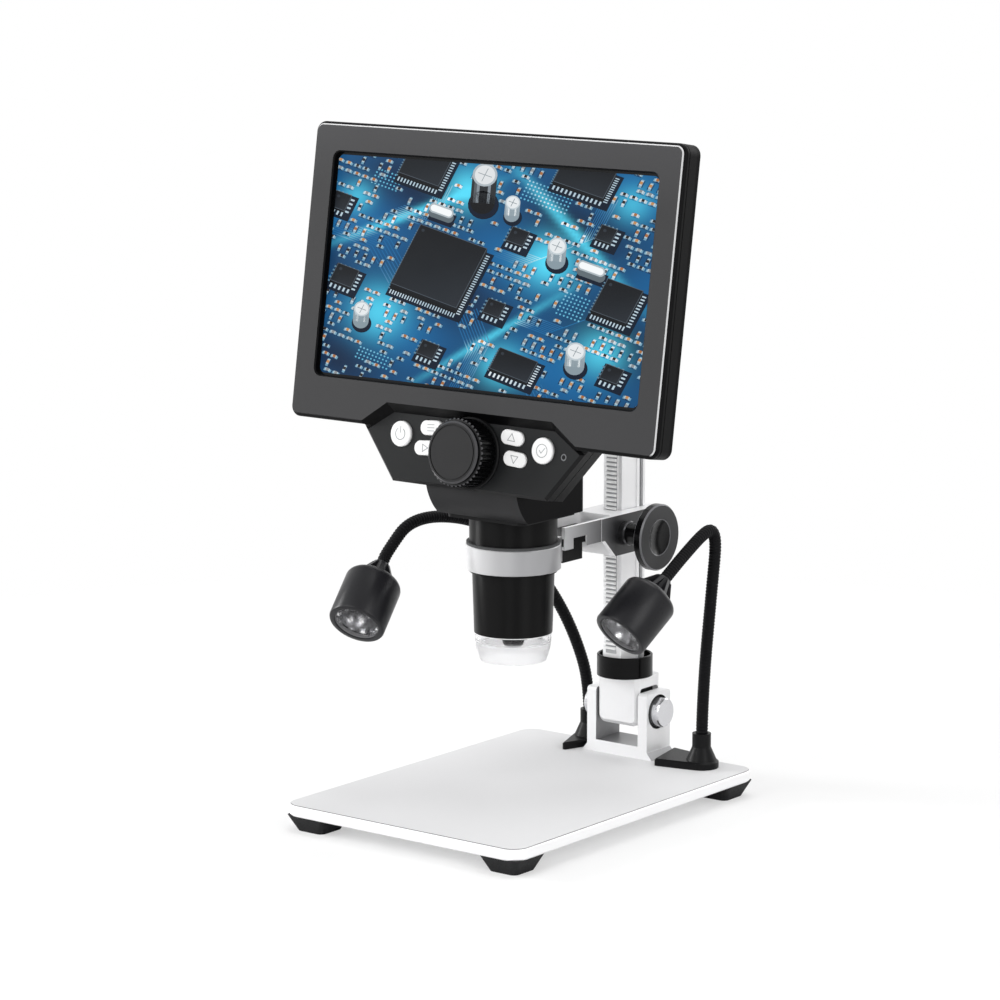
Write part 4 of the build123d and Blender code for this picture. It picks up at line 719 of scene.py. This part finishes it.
class Picture:
    """Flat coloured shapes in layers, kept inside the display's rounded active area."""

    def __init__(self):
        self.points, self.faces, self.tints, self.limits = [], [], [], []
        self.layer = 0
        inner = [half - PICTURE_CORNER for half in PICTURE_HALF]
        for step in range(24):
            across, up = math.cos(math.pi * step / 12), math.sin(math.pi * step / 12)
            self.limits.append((across, up, abs(across) * inner[0] + abs(up) * inner[1] + PICTURE_CORNER))

    def clip(self, shape):
        """Keep the part of a shape that lies inside the active area."""
        for across, up, reach in self.limits:
            room = [reach - across * spot[0] - up * spot[1] for spot in shape]
            if min(room) >= 0:
                continue
            kept = []
            for number, spot in enumerate(shape):
                after = (number + 1) % len(shape)
                if room[number] >= 0:
                    kept.append(spot)
                if (room[number] >= 0) != (room[after] >= 0):
                    kept.append(blended(spot, shape[after], room[number] / (room[number] - room[after])))
            shape = kept
            if len(shape) < 3:
                return []
        return shape

    def fill(self, corners, *tints, over=0):
        """Flat shape, some layers over the present one, with one tint for all corners or one for each."""
        tints = [paint(tint) if isinstance(tint, str) else tint for tint in tints]
        shape = self.clip([(*corner, *tints[k % len(tints)]) for k, corner in enumerate(corners)])
        if not shape:
            return
        first = len(self.points)
        out = PICTURE_DEPTH + (self.layer + over) * LAYER_STEP
        self.points += [on_screen(spot[0], spot[1], out) for spot in shape]
        self.faces.append(tuple(range(first, first + len(shape))))
        self.tints += [spot[2:] for spot in shape]

    def patch(self, middle, size, rise, *tints, over=0):
        """Rectangle that lies on the board."""
        (a, b), (wide, deep) = middle, (size[0] / 2, size[1] / 2)
        corners = [(a - wide, b - deep), (a + wide, b - deep), (a + wide, b + deep), (a - wide, b + deep)]
        self.fill([board_point(x, y, rise) for x, y in corners], *tints, over=over)

    def disc(self, a, b, radius, rise, tint, sides=20, over=0):
        x, up = board_point(a, b, rise)
        angles = [2 * math.pi * k / sides for k in range(sides)]
        edge = [(x + radius * math.cos(t), up + radius * DISC_SQUASH * math.sin(t)) for t in angles]
        self.fill(edge, tint, over=over)

    def track(self, route):
        """A copper track under the mask: a ribbon that takes the light of the board around it."""
        for start, end in zip(route, route[1:]):
            run = Vector((end[0] - start[0], end[1] - start[1]))
            steps = max(1, round(run.length / TRACK_STRETCH))
            side = Vector((-run.y, run.x)).normalized() * (TRACK_WIDTH / 2)
            for step in range(steps):
                near, far = Vector(start) + run * (step / steps), Vector(start) + run * ((step + 1) / steps)
                corners = (near + side, far + side, far - side, near - side)
                places = [board_point(*corner) for corner in corners]
                self.fill(places, *[blended("#14659C", "#B9F6FF", glow(*place)) for place in places])

    def small_part(self, a, b, lengthwise, tint):
        """A chip resistor or capacitor: two lit solder pads and a body between them."""
        light = glow(*board_point(a, b))
        wide, deep = PART_SIZE if lengthwise else PART_SIZE[::-1]
        step_a, step_b = (PAD_OUT, 0) if lengthwise else (0, PAD_OUT)
        body = (wide * 0.55, deep) if lengthwise else (wide, deep * 0.55)
        self.patch((a, b), (wide + 1.2, deep + 1.0), 0, blended("#0A3257", "#2FA9D8", light))
        pad = blended("#6F9FB8", "#F2FDFF", light)
        for sign in (-1, 1):
            self.patch((a + sign * step_a, b + sign * step_b), PAD_SIZE, 0, pad, over=1)
        self.patch((a, b), (wide, deep), 0.35, blended("#AFC3CD", "#FFFFFF", light), over=2)
        self.patch((a, b), body, 0.45, tint, over=3)

    def chip(self, a, b, wide, deep, tall, pins):
        """A black moulded package with gull-wing pins, its shadow and a drawn highlight along its edge."""
        left, right, low, high = a - wide / 2, a + wide / 2, b - deep / 2, b + deep / 2
        self.patch((a + 1.2, b - 1.0), (wide + 4.5, deep + 4.5), 0, "#03162A")
        pin_wide, pin_deep = wide / pins * 0.42, deep / pins * 0.42
        for number in range(pins):
            x, y = left + wide * (number + 0.5) / pins, low + deep * (number + 0.5) / pins
            lit = blended("#7FA9BE", "#F5FCFF", 0.35 + 0.65 * glow(*board_point(x, low)))
            self.patch((x, low - 0.9), (pin_wide, 2.2), 0.3, lit, over=1)
            self.patch((x, high + 0.7), (pin_wide, 1.6), 0.3, "#6C93A8", over=1)
            self.patch((right + 0.9, y), (2.0, pin_deep), 0.3, lit, over=1)
            self.patch((left - 0.7, y), (1.6, pin_deep), 0.3, "#5B8299", over=1)
        walls = [((left, low), (right, low), ("#030406", "#030406", "#14191F", "#0C1014")),
                 ((right, low), (right, high), ("#07090C", "#0A0D11", "#1E262E", "#1A2027"))]
        for start, end, tints in walls:
            corners = [board_point(*start, 0.5), board_point(*end, 0.5), board_point(*end, tall),
                       board_point(*start, tall)]
            self.fill(corners, *tints, over=2)
        # drawn highlight: a lighter rim round the package's top
        self.patch((a, b), (wide, deep), tall, "#4A545E", over=3)
        self.patch((a, b), (wide - 0.6, deep - 0.6), tall, *PACKAGE_TOP, over=4)
        self.disc(left + 2.6, high - 2.6, 0.8, tall, "#2B323A", over=5)

    def can(self, a, b, radius, tall, body, shine, top):
        """An upright electrolytic capacitor: a shaded can with a stamped bright top."""
        low, high = board_point(a, b), board_point(a, b, tall)
        self.disc(a + 0.8, b - 0.6, radius * 1.25, 0, "#03152A")
        self.disc(a, b, radius, 0.4, body, over=1)
        shares = (0.08, 0.35, 0.9, 0.08, 0.08, 0.08, 0.9, 0.08, 0.08)
        for number, share in enumerate(shares):
            left, right = (-radius + 2 * radius * (number + k) / len(shares) for k in (0, 1))
            ends = ((low, left), (low, right), (high, right), (high, left))
            self.fill([(end[0] + x, end[1]) for end, x in ends], blended(body, shine, share), over=1)
        self.disc(a, b, radius, tall, top, over=2)
        self.disc(a, b, radius * 0.82, tall, blended(top, "#FFFFFF", 0.55), over=3)
        for size in ((0.35, radius * 1.2), (radius * 1.2, 0.35)):
            self.patch((a, b), size, tall, "#8C979D", over=4)

    def crystal(self, a, b, long, tall):
        """A metal crystal can with rounded ends."""
        self.patch((a + 1, b - 1), (long + 5, 6.5), 0, "#03152A")
        rings = ((1, 2.6, 0.3, "#5F6B72"), (2, 2.4, tall, "#AEB9BF"), (3, 1.6, tall, "#F4F8FA"))
        for over, reach, rise, tint in rings:
            shape = []
            for end, start in ((a + long / 2, -90), (a - long / 2, 90)):
                x, up = board_point(end, b, rise)
                angles = [math.radians(start + 15 * k) for k in range(13)]
                shape += [(x + reach * math.cos(t), up + 0.8 * reach * math.sin(t)) for t in angles]
            self.fill(shape, tint, over=over)


def draw_ground(picture):
    (columns, rows), (half_x, half_up) = PICTURE_CELLS, PICTURE_HALF
    for row in range(rows):
        for column in range(columns):
            corners = [(half_x * (2 * (column + i) / columns - 1), half_up * (2 * (row + j) / rows - 1))
                       for i, j in ((0, 0), (1, 0), (1, 1), (0, 1))]
            picture.fill(corners, *[ground_tint(*corner) for corner in corners])


def draw_tracks(picture):
    """Bundles of tracks that turn together, and dotted fields of vias."""
    picture.layer = TRACK_LAYER
    for route, count, pitch in BUNDLES:
        for number in range(count):
            shift = number * pitch * TRACK_SHIFT
            picture.track([(a + shift, b + shift) for a, b in route])
    picture.layer = VIA_LAYER
    for start_a, start_b, columns, rows in VIA_FIELDS:
        for row in range(rows):
            for column in range(columns):
                a, b = start_a + column * VIA_PITCH, start_b + row * VIA_PITCH
                tint = blended("#5FB4D4", "#FFFFFF", glow(*board_point(a, b)))
                picture.disc(a, b, VIA_RADIUS, 0, tint, sides=8)


def is_free(a, b):
    """True where no package, can or field of small vias stands."""
    chips = (abs(a - x) < wide / 2 + 4.0 and abs(b - y) < deep / 2 + 4.0 for x, y, wide, deep, *_ in CHIPS)
    cans = (math.hypot(a - x, b - y) < radius + 3.0 for x, y, radius, *_ in CANS)
    vias = (left < a < right and near < b < far for left, right, near, far in VIA_CLEARINGS)
    return not (any(chips) or any(cans) or any(vias))


def draw_small_parts(picture):
    """Small parts in short rows all over the board, as a placing machine would leave them."""
    picture.layer = SMALL_LAYER
    chance = random.Random(23)
    columns, rows = PART_GRID
    for row in range(-rows, rows + 1):
        for column in range(-columns, columns + 1):
            a, b = column * PART_PITCH[0] + (row % 2) * PART_SHIFT, row * PART_PITCH[1]
            x, up = board_point(a, b)
            inside = abs(x) < PICTURE_HALF[0] + 3 and abs(up) < PICTURE_HALF[1] + 3
            dense = 0.5 + 0.5 * math.sin(a * 0.09 + 1.0) * math.cos(b * 0.12 + 0.4)
            wanted = chance.random() < 0.25 + 0.6 * dense
            if inside and wanted and is_free(a, b):
                tint = PART_TINTS[(row * 3 + column // 3) % len(PART_TINTS)]
                picture.small_part(a, b, row % 3 != 0, tint)


def make_display():
    """The picture: a lit circuit board of generic parts in a layout of its own."""
    picture = Picture()
    draw_ground(picture)
    draw_tracks(picture)
    draw_small_parts(picture)
    for layer, parts, draw in ((CRYSTAL_LAYER, CRYSTALS, picture.crystal), (CHIP_LAYER, CHIPS, picture.chip),
                               (CAN_LAYER, CANS, picture.can)):
        picture.layer = layer
        for part in sorted(parts, key=lambda part: -part[1]):
            draw(*part)
    piece = mesh_piece("display_picture", picture.points, picture.faces, lit_picture())
    layer = piece.data.color_attributes.new("tint", "FLOAT_COLOR", "POINT")
    for number, tint in enumerate(picture.tints):
        layer.data[number].color = tint
    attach(piece, "head")


# --------------------------- signs on the keys
def ribbon(points, width, closed=False):
    """Flat strokes (as quads of 2-D points) along a line."""
    quads = []
    ends = points[1:] + points[:1] if closed else points[1:]
    for start, end in zip(points, ends):
        run = (Vector(end) - Vector(start)).normalized() * (width / 2)
        side = Vector((-run.y, run.x))
        a, b = Vector(start) - run * 0.8, Vector(end) + run * 0.8
        quads.append([a + side, b + side, b - side, a - side])
    return quads


def arc(radius, start, end, steps=20):
    angles = [math.radians(start + (end - start) * k / steps) for k in range(steps + 1)]
    return [(radius * math.cos(angle), radius * math.sin(angle)) for angle in angles]


# lines of each sign, and whether a line is closed
SIGNS = {
    "power_button": [(arc(2.3, 125, 415), False), ([(0, 0.5), (0, 3.0)], False)],
    "menu_button": [([(-1.6, y), (1.6, y)], False) for y in (-1.2, 0.0, 1.2)],
    "playback_button": [([(-1.1, -1.4), (1.5, 0), (-1.1, 1.4)], True)],
    "up_button": [([(-1.7, -1.2), (1.7, -1.2), (0, 1.6)], True)],
    "down_button": [([(-1.7, 1.2), (1.7, 1.2), (0, -1.6)], True)],
    "ok_button": [(arc(2.5, 0, 360), False), ([(-1.2, 0.1), (-0.3, -0.9), (1.4, 1.1)], False)],
}
# place across and up on the screen's axes, and turn in degrees
BUTTON_PLACES = {
    "power_button": (-34.4, -63.2, 0), "menu_button": (-19.6, -59.5, 4), "playback_button": (-21.7, -67.5, 4),
    "up_button": (19.6, -59.5, -4), "down_button": (21.7, -67.5, -4), "ok_button": (34.4, -63.0, 0),
}
KEY_TOP = -3.0
SIGN_SUNK, SIGN_PROUD = 0.02, 0.07
STROKE = 0.28


def make_signs(material):
    """Moulded outline signs that stand a little proud of each key."""
    for button, strokes in SIGNS.items():
        cx, cy, turn = BUTTON_PLACES[button]
        spin = Matrix.Rotation(math.radians(turn), 2)
        points, faces = [], []
        for quad in [quad for line, closed in strokes for quad in ribbon(line, STROKE, closed)]:
            faces += block_faces(len(points))
            spots = [spin @ corner for corner in quad]
            for out in (KEY_TOP - SIGN_SUNK, KEY_TOP + SIGN_PROUD):
                points += [on_screen(cx + spot.x, cy + spot.y, out) for spot in spots]
        sign = mesh_piece(f"{button}_sign", points, faces, material)
        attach(sign, button.replace("_button", "_key"))


# --------------------------- goosenecks
# each neck's route from its foot to its lamp, above the stage
NECK_ROUTES = {
    "right": [(38.5, 67.8, 4.0), (38.5, 67.8, 28.0), (39.7, 72.4, 74.0), (40.2, 74.3, 91.2),
              (40.4, 71.2, 97.4), (40.8, 64.4, 96.6), (41.1, 50.0, 89.6), (41.2, 38.1, 82.9),
              (40.8, 36.2, 81.3)],
    "left": [(-22.8, 74.8, 4.0), (-22.8, 74.8, 24.0), (-29.0, 73.8, 43.0), (-34.6, 66.5, 62.0),
             (-39.8, 48.0, 85.0), (-45.0, 24.0, 99.6), (-51.0, -6.5, 103.5), (-52.6, -20.5, 90.9),
             (-52.7, -23.1, 87.2), (-52.2, -25.0, 85.5)],
}
NECK_RADIUS = 2.2
NECK_SIDES = 18
RIB_HEIGHT = 0.3
RIB_PITCH = 1.3
NECK_STEP = RIB_PITCH / 5
BEND_REACH = 9.0                  # how far past the middle joint the sleeve's lower piece reaches
TIP_LENGTH = 7.0                  # the stretch next to the lamp, a piece of its own


def smooth_line(route):
    """Points along a smooth spline steered by the route, in metres."""
    curve = bpy.data.curves.new("neck_line", "CURVE")
    curve.dimensions = "3D"
    curve.resolution_u = 24
    spline = curve.splines.new("NURBS")
    spline.points.add(len(route) - 1)
    for point, (x, y, z) in zip(spline.points, route):
        point.co = (x * MM, y * MM, (z + STAGE_TOP) * MM, 1.0)
    spline.order_u = 3
    spline.use_endpoint_u = True
    holder = bpy.data.objects.new("neck_line", curve)
    bpy.context.scene.collection.objects.link(holder)
    bpy.context.view_layer.update()
    mesh = bpy.data.meshes.new_from_object(holder)
    line = [v.co.copy() for v in mesh.vertices]
    bpy.data.objects.remove(holder)
    bpy.data.meshes.remove(mesh)
    bpy.data.curves.remove(curve)
    return line


def evenly(line, step):
    """The line's points again, one per step of its length."""
    spots, carried = [line[0]], 0.0
    for start, end in zip(line, line[1:]):
        length = (end - start).length
        at = step - carried
        while at <= length:
            spots.append(start + (end - start) * (at / length))
            at += step
        carried = (carried + length) % step if length else carried
    return spots


def ribbed_tube(name, spots, first, last, material):
    """Corrugated sleeve over spots[first:last + 1]; the ribs keep their count along the whole neck."""
    points = []
    side = (spots[1] - spots[0]).orthogonal().normalized()
    for number in range(last + 1):
        ahead = (spots[min(number + 1, len(spots) - 1)] - spots[max(number - 1, 0)]).normalized()
        side = (side - ahead * side.dot(ahead)).normalized()
        if number >= first:
            wave = 0.5 + 0.5 * math.cos(2 * math.pi * number * NECK_STEP / RIB_PITCH)
            radius = (NECK_RADIUS + RIB_HEIGHT * wave ** 0.6) * MM
            points += circle(spots[number], side, ahead.cross(side), radius, NECK_SIDES)
    faces = ring_faces(last - first + 1, NECK_SIDES)
    faces.append(tuple(range(NECK_SIDES))[::-1])
    faces.append(tuple(range(len(points) - NECK_SIDES, len(points))))
    return mesh_piece(name, points, faces, material, smooth=True)


def make_necks(material):
    """Ribbed sleeves; each is cut into a lower piece, an upper piece on the neck's upper body, and a tip next
    to the lamp.
    """
    for side, route in NECK_ROUTES.items():
        spots = evenly(smooth_line(route), NECK_STEP * MM)
        middle = joint_place(f"{side}_neck_bend")
        bend = min(range(len(spots)), key=lambda k: (spots[k] - middle).length)
        before, after = bend - round(BEND_REACH / NECK_STEP), bend + round(BEND_REACH / NECK_STEP)
        end = len(spots) - 1
        neck = end - round(TIP_LENGTH / NECK_STEP)
        low = ribbed_tube(f"{side}_sleeve_low", spots, 0, after, material)
        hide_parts(f"{side}_lower_neck")
        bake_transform(low)
        high = ribbed_tube(f"{side}_sleeve_high", spots, after, neck, material)
        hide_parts(f"{side}_upper_neck")
        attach(high, f"{side}_neck_high")
        tip = ribbed_tube(f"{side}_sleeve_tip", spots, neck, end, material)
        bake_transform(tip)


# --------------------------- lens hood
# radius and height of the hood's outline
HOOD_PROFILE = [(1.6, 69.0), (2.3, 69.0), (3.1, 69.4), (3.8, 70.2), (4.2, 71.2), (4.3, 73.4), (1.6, 73.4)]
HOOD_SIDES = 48


def make_lens_hood(material):
    """The objective's black tip, which shows through the nose as a dark spot."""
    x, y, _ = joint_place("head_swivel")
    points = turned_points(Vector((x, y, 0)), UP, RIGHT, REAR, HOOD_PROFILE, HOOD_SIDES)
    hood = mesh_piece("lens_hood", points, ring_faces(len(HOOD_PROFILE), HOOD_SIDES, closed=True), material)
    sharpen(hood, 35)
    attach(hood, "lens_group")


# --------------------------- lamp heads
# radius and distance from the ball joint along the beam
SHELL_TAIL = [(0.0, 0.9), (2.9, 0.9), (3.2, 1.4), (4.2, 8.0), (7.6, 8.1), (7.9, 8.3), (7.9, 8.9), (8.5, 9.0)]
SHELL_MOUTH = [(11.4, 30.7), (11.1, 31.3), (10.6, 31.5), (9.3, 31.5), (8.9, 31.1), (8.55, 29.2), (8.55, 21.0),
               (0.0, 21.0)]
SHOULDER = (8.6, 11.8, 2.8)       # centre radius and distance of the shoulder's round, and its own radius
LIGHT_RIM_ROWS = (4, 5, 6, 19)         # the tail's rim, and the mouth's inside from its front edge to the lens
SHELL_SIDES = 72
TAIL_FINS = 8
FIN_START, FIN_END = 1.6, 8.3
FIN_ROOT, FIN_FOOT, FIN_REACH, FIN_HALF = 1.0, 3.7, 7.7, 0.7
LED_HALF, LED_FLOOR, LED_TOP = 1.7, 21.82, 22.3
DOME_RADIUS, DOME_RINGS, DOME_SIDES = 1.15, 5, 16


def make_lamp_led(side, board, phosphor):
    """Square LED board with its dome, at the bottom of the reflector."""
    start, ahead, across, other = lamp_frame(side)
    corners = [across * u * LED_HALF + other * v * LED_HALF for u, v in ((-1, -1), (1, -1), (1, 1), (-1, 1))]
    points = [start + (corner + ahead * level) * MM for level in (LED_FLOOR, LED_TOP) for corner in corners]
    base = mesh_piece(f"{side}_led_board", points, block_faces(0), board)
    lifts = [math.pi / 2 * ring / DOME_RINGS for ring in range(DOME_RINGS)]
    profile = [(DOME_RADIUS * math.cos(lift), LED_TOP + DOME_RADIUS * math.sin(lift)) for lift in lifts]
    points = turned_points(start, ahead, across, other, profile, DOME_SIDES)
    crown, last = len(points), len(points) - DOME_SIDES
    points.append(start + ahead * (LED_TOP + DOME_RADIUS) * MM)
    faces = ring_faces(DOME_RINGS, DOME_SIDES)
    faces += [(last + k, last + (k + 1) % DOME_SIDES, crown) for k in range(DOME_SIDES)]
    dome = mesh_piece(f"{side}_led_dome", points, faces, phosphor, smooth=True)
    for piece in (base, dome):
        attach(piece, f"{side}_lamp")


def make_lamp_shell(side, material, rim_material):
    """Turned lamp head: a ribbed tail, a stepped rim, a round shoulder and a straight barrel."""
    start, ahead, across, other = lamp_frame(side)
    centre, level, bend = SHOULDER
    turns = [math.radians(turn) for turn in range(90, -1, -15)]
    shoulder = [(centre + bend * math.cos(turn), level - bend * math.sin(turn)) for turn in turns]
    profile = SHELL_TAIL + shoulder + SHELL_MOUTH
    points = turned_points(start, ahead, across, other, profile, SHELL_SIDES)
    faces = ring_faces(len(profile), SHELL_SIDES)
    for fin in range(TAIL_FINS):
        angle = 2 * math.pi * (fin + 0.25) / TAIL_FINS
        out = across * math.cos(angle) + other * math.sin(angle)
        wide = (other * math.cos(angle) - across * math.sin(angle)) * FIN_HALF
        outline = [(FIN_ROOT, FIN_START), (FIN_FOOT, FIN_START), (FIN_REACH, FIN_END), (FIN_ROOT, FIN_END)]
        first = len(points)
        faces += [tuple(first + k for k in (3, 2, 1, 0))] + block_faces(first)
        points += [start + (out * radius + ahead * reach + sign * wide) * MM for sign in (-1, 1)
                   for radius, reach in outline]
    shell = mesh_piece(f"{side}_lamp_head", points, faces, material)
    shell.data.materials.append(rim_material)
    for number in [row * SHELL_SIDES + k for row in LIGHT_RIM_ROWS for k in range(SHELL_SIDES)]:
        shell.data.polygons[number].material_index = 1
    sharpen(shell, 28)
    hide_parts(f"{side}_lamp_shell")
    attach(shell, f"{side}_lamp")


# --------------------------- build the scene
def dress(material, *names):
    """Give CAD nodes their material."""
    for name in names:
        mesh = nodes[name].data
        mesh.materials.clear()
        mesh.materials.append(material)


make_camera()
make_studio()
make_floor()

dress(stage_plate(), "base_plate")
dress(rubber("black_foot_rubber", "#131314", "#1B1B1D"), "rubber_feet")
dress(turned_steel("zinc_plated_steel", "#A9A9AC", 0.3), "base_screws", "holder_screws", "back_screws",
      "focus_spindle")
dress(anodised_aluminium("bracket_aluminium", "#F0F0F1", "#F4F4F5", bracket_shade), "tilt_bracket")
dress(anodised_aluminium("block_aluminium", "#EEEEEF", "#F2F2F3", block_shade), "tilt_block")
dress(anodised_aluminium("carriage_aluminium", "#F0F0F1", "#F4F4F5", carriage_shade, metal=0.15), "carriage")
dress(anodised_aluminium("ring_aluminium", "#E8E8E9", "#EDEDEE", ring_shade, 0.3, 0.4), "holder_ring")
dress(anodised_aluminium("column_aluminium", "#F4F4F5", "#F8F8F9", column_shade), "column")
dress(anodised_aluminium("rack_aluminium", "#F6F6F6", "#FAFAFA", rack_shade, metal=0.1), "gear_rack")
dress(turned_steel("nickel_plated_bolt", "#D2D2D5", 0.16), "pivot_bolts", "pinion")
dress(turned_steel("blackened_steel", "#4A4A4C", 0.25), "shaft_bushes", "pinion_shaft")
dress(turned_steel("plated_socket_shell", "#C9C9CB", 0.25), "side_sockets")
black = moulded_abs("black_abs", "#0E0E0F", "#131314", 0.38, shine=0.12)
dress(black, "column_cap", "slide_bar", "lens_cell", "left_lamp_foot", "right_lamp_foot", "focus_flange",
      "chin_plate", "pod_back")
dress(polished_black(), "column_collar")
dress(rubber("grey_liner_rubber", "#3F4041", "#4A4B4C"), "ring_liner")
dress(turned_black(), "upper_barrel", "lower_barrel")
dress(disc_knob(), "rack_knob_left", "rack_knob_right")
dress(fluted_knob(), "focus_knob")
dress(painted_bezel(), "bezel_frame")
dress(panel_shell(), "pod_shell")
dress(chin_shell(), "camera_housing")
dress(back_shell(), "back_cover")
dress(frosted_acrylic(), "clear_nose")
keycap = plain("glossy_white_abs", "#FAFAFA", "#FFFFFF", 4, 1.0, 0.22, 0.3, ior=1.53)
dress(keycap, *[name for name in nodes if name.endswith("_button")])
dress(circuit_board(), "button_board", "main_board", "sensor_board")
dress(indicator_lens(), "indicator_led")
dress(plain("black_display_glass", "#08090B", "#0D0F12", 30, 5, 0.12, 0.2, shine=0.2), "lcd_panel")
dress(clear_acrylic("coated_lens_glass", "#5A6478"), "lens_glass")
dress(clear_acrylic("clear_lamp_lens", "#FFFFFF", 0.0, 1.15), "left_lamp_lens", "right_lamp_lens")
led_white = moulded_abs("white_led_board", "#E6E6E0", "#F2F2EC", 0.4)
dress(led_white, "led_ring")

make_display()
make_signs(moulded_abs("grey_key_print", "#A6A8AA", "#AEB0B2", 0.35))
make_necks(rubber("ribbed_neck_rubber", "#111112", "#171719", 0.5, 0.06))
make_lens_hood(black)
lamp_plastic = moulded_abs("soft_touch_lamp_shell", "#17171A", "#1E1E21", 0.32)
# light grey rim and mouth lining of the lamp heads
lamp_rim = moulded_abs("light_grey_lamp_rim", "#7C7C7E", "#8A8A8C", 0.3)
phosphor = plain("led_phosphor", "#D9B23A", "#F0D874", 0.6, 1.0, 0.25, 0.35)
for lamp_side in LAMP_BEAMS:
    dress(lamp_plastic, f"{lamp_side}_lamp_shell")
    dress(chromed_bowl(lamp_side), f"{lamp_side}_lamp_reflector")
    make_lamp_led(lamp_side, led_white, phosphor)
    make_lamp_shell(lamp_side, lamp_plastic, lamp_rim)
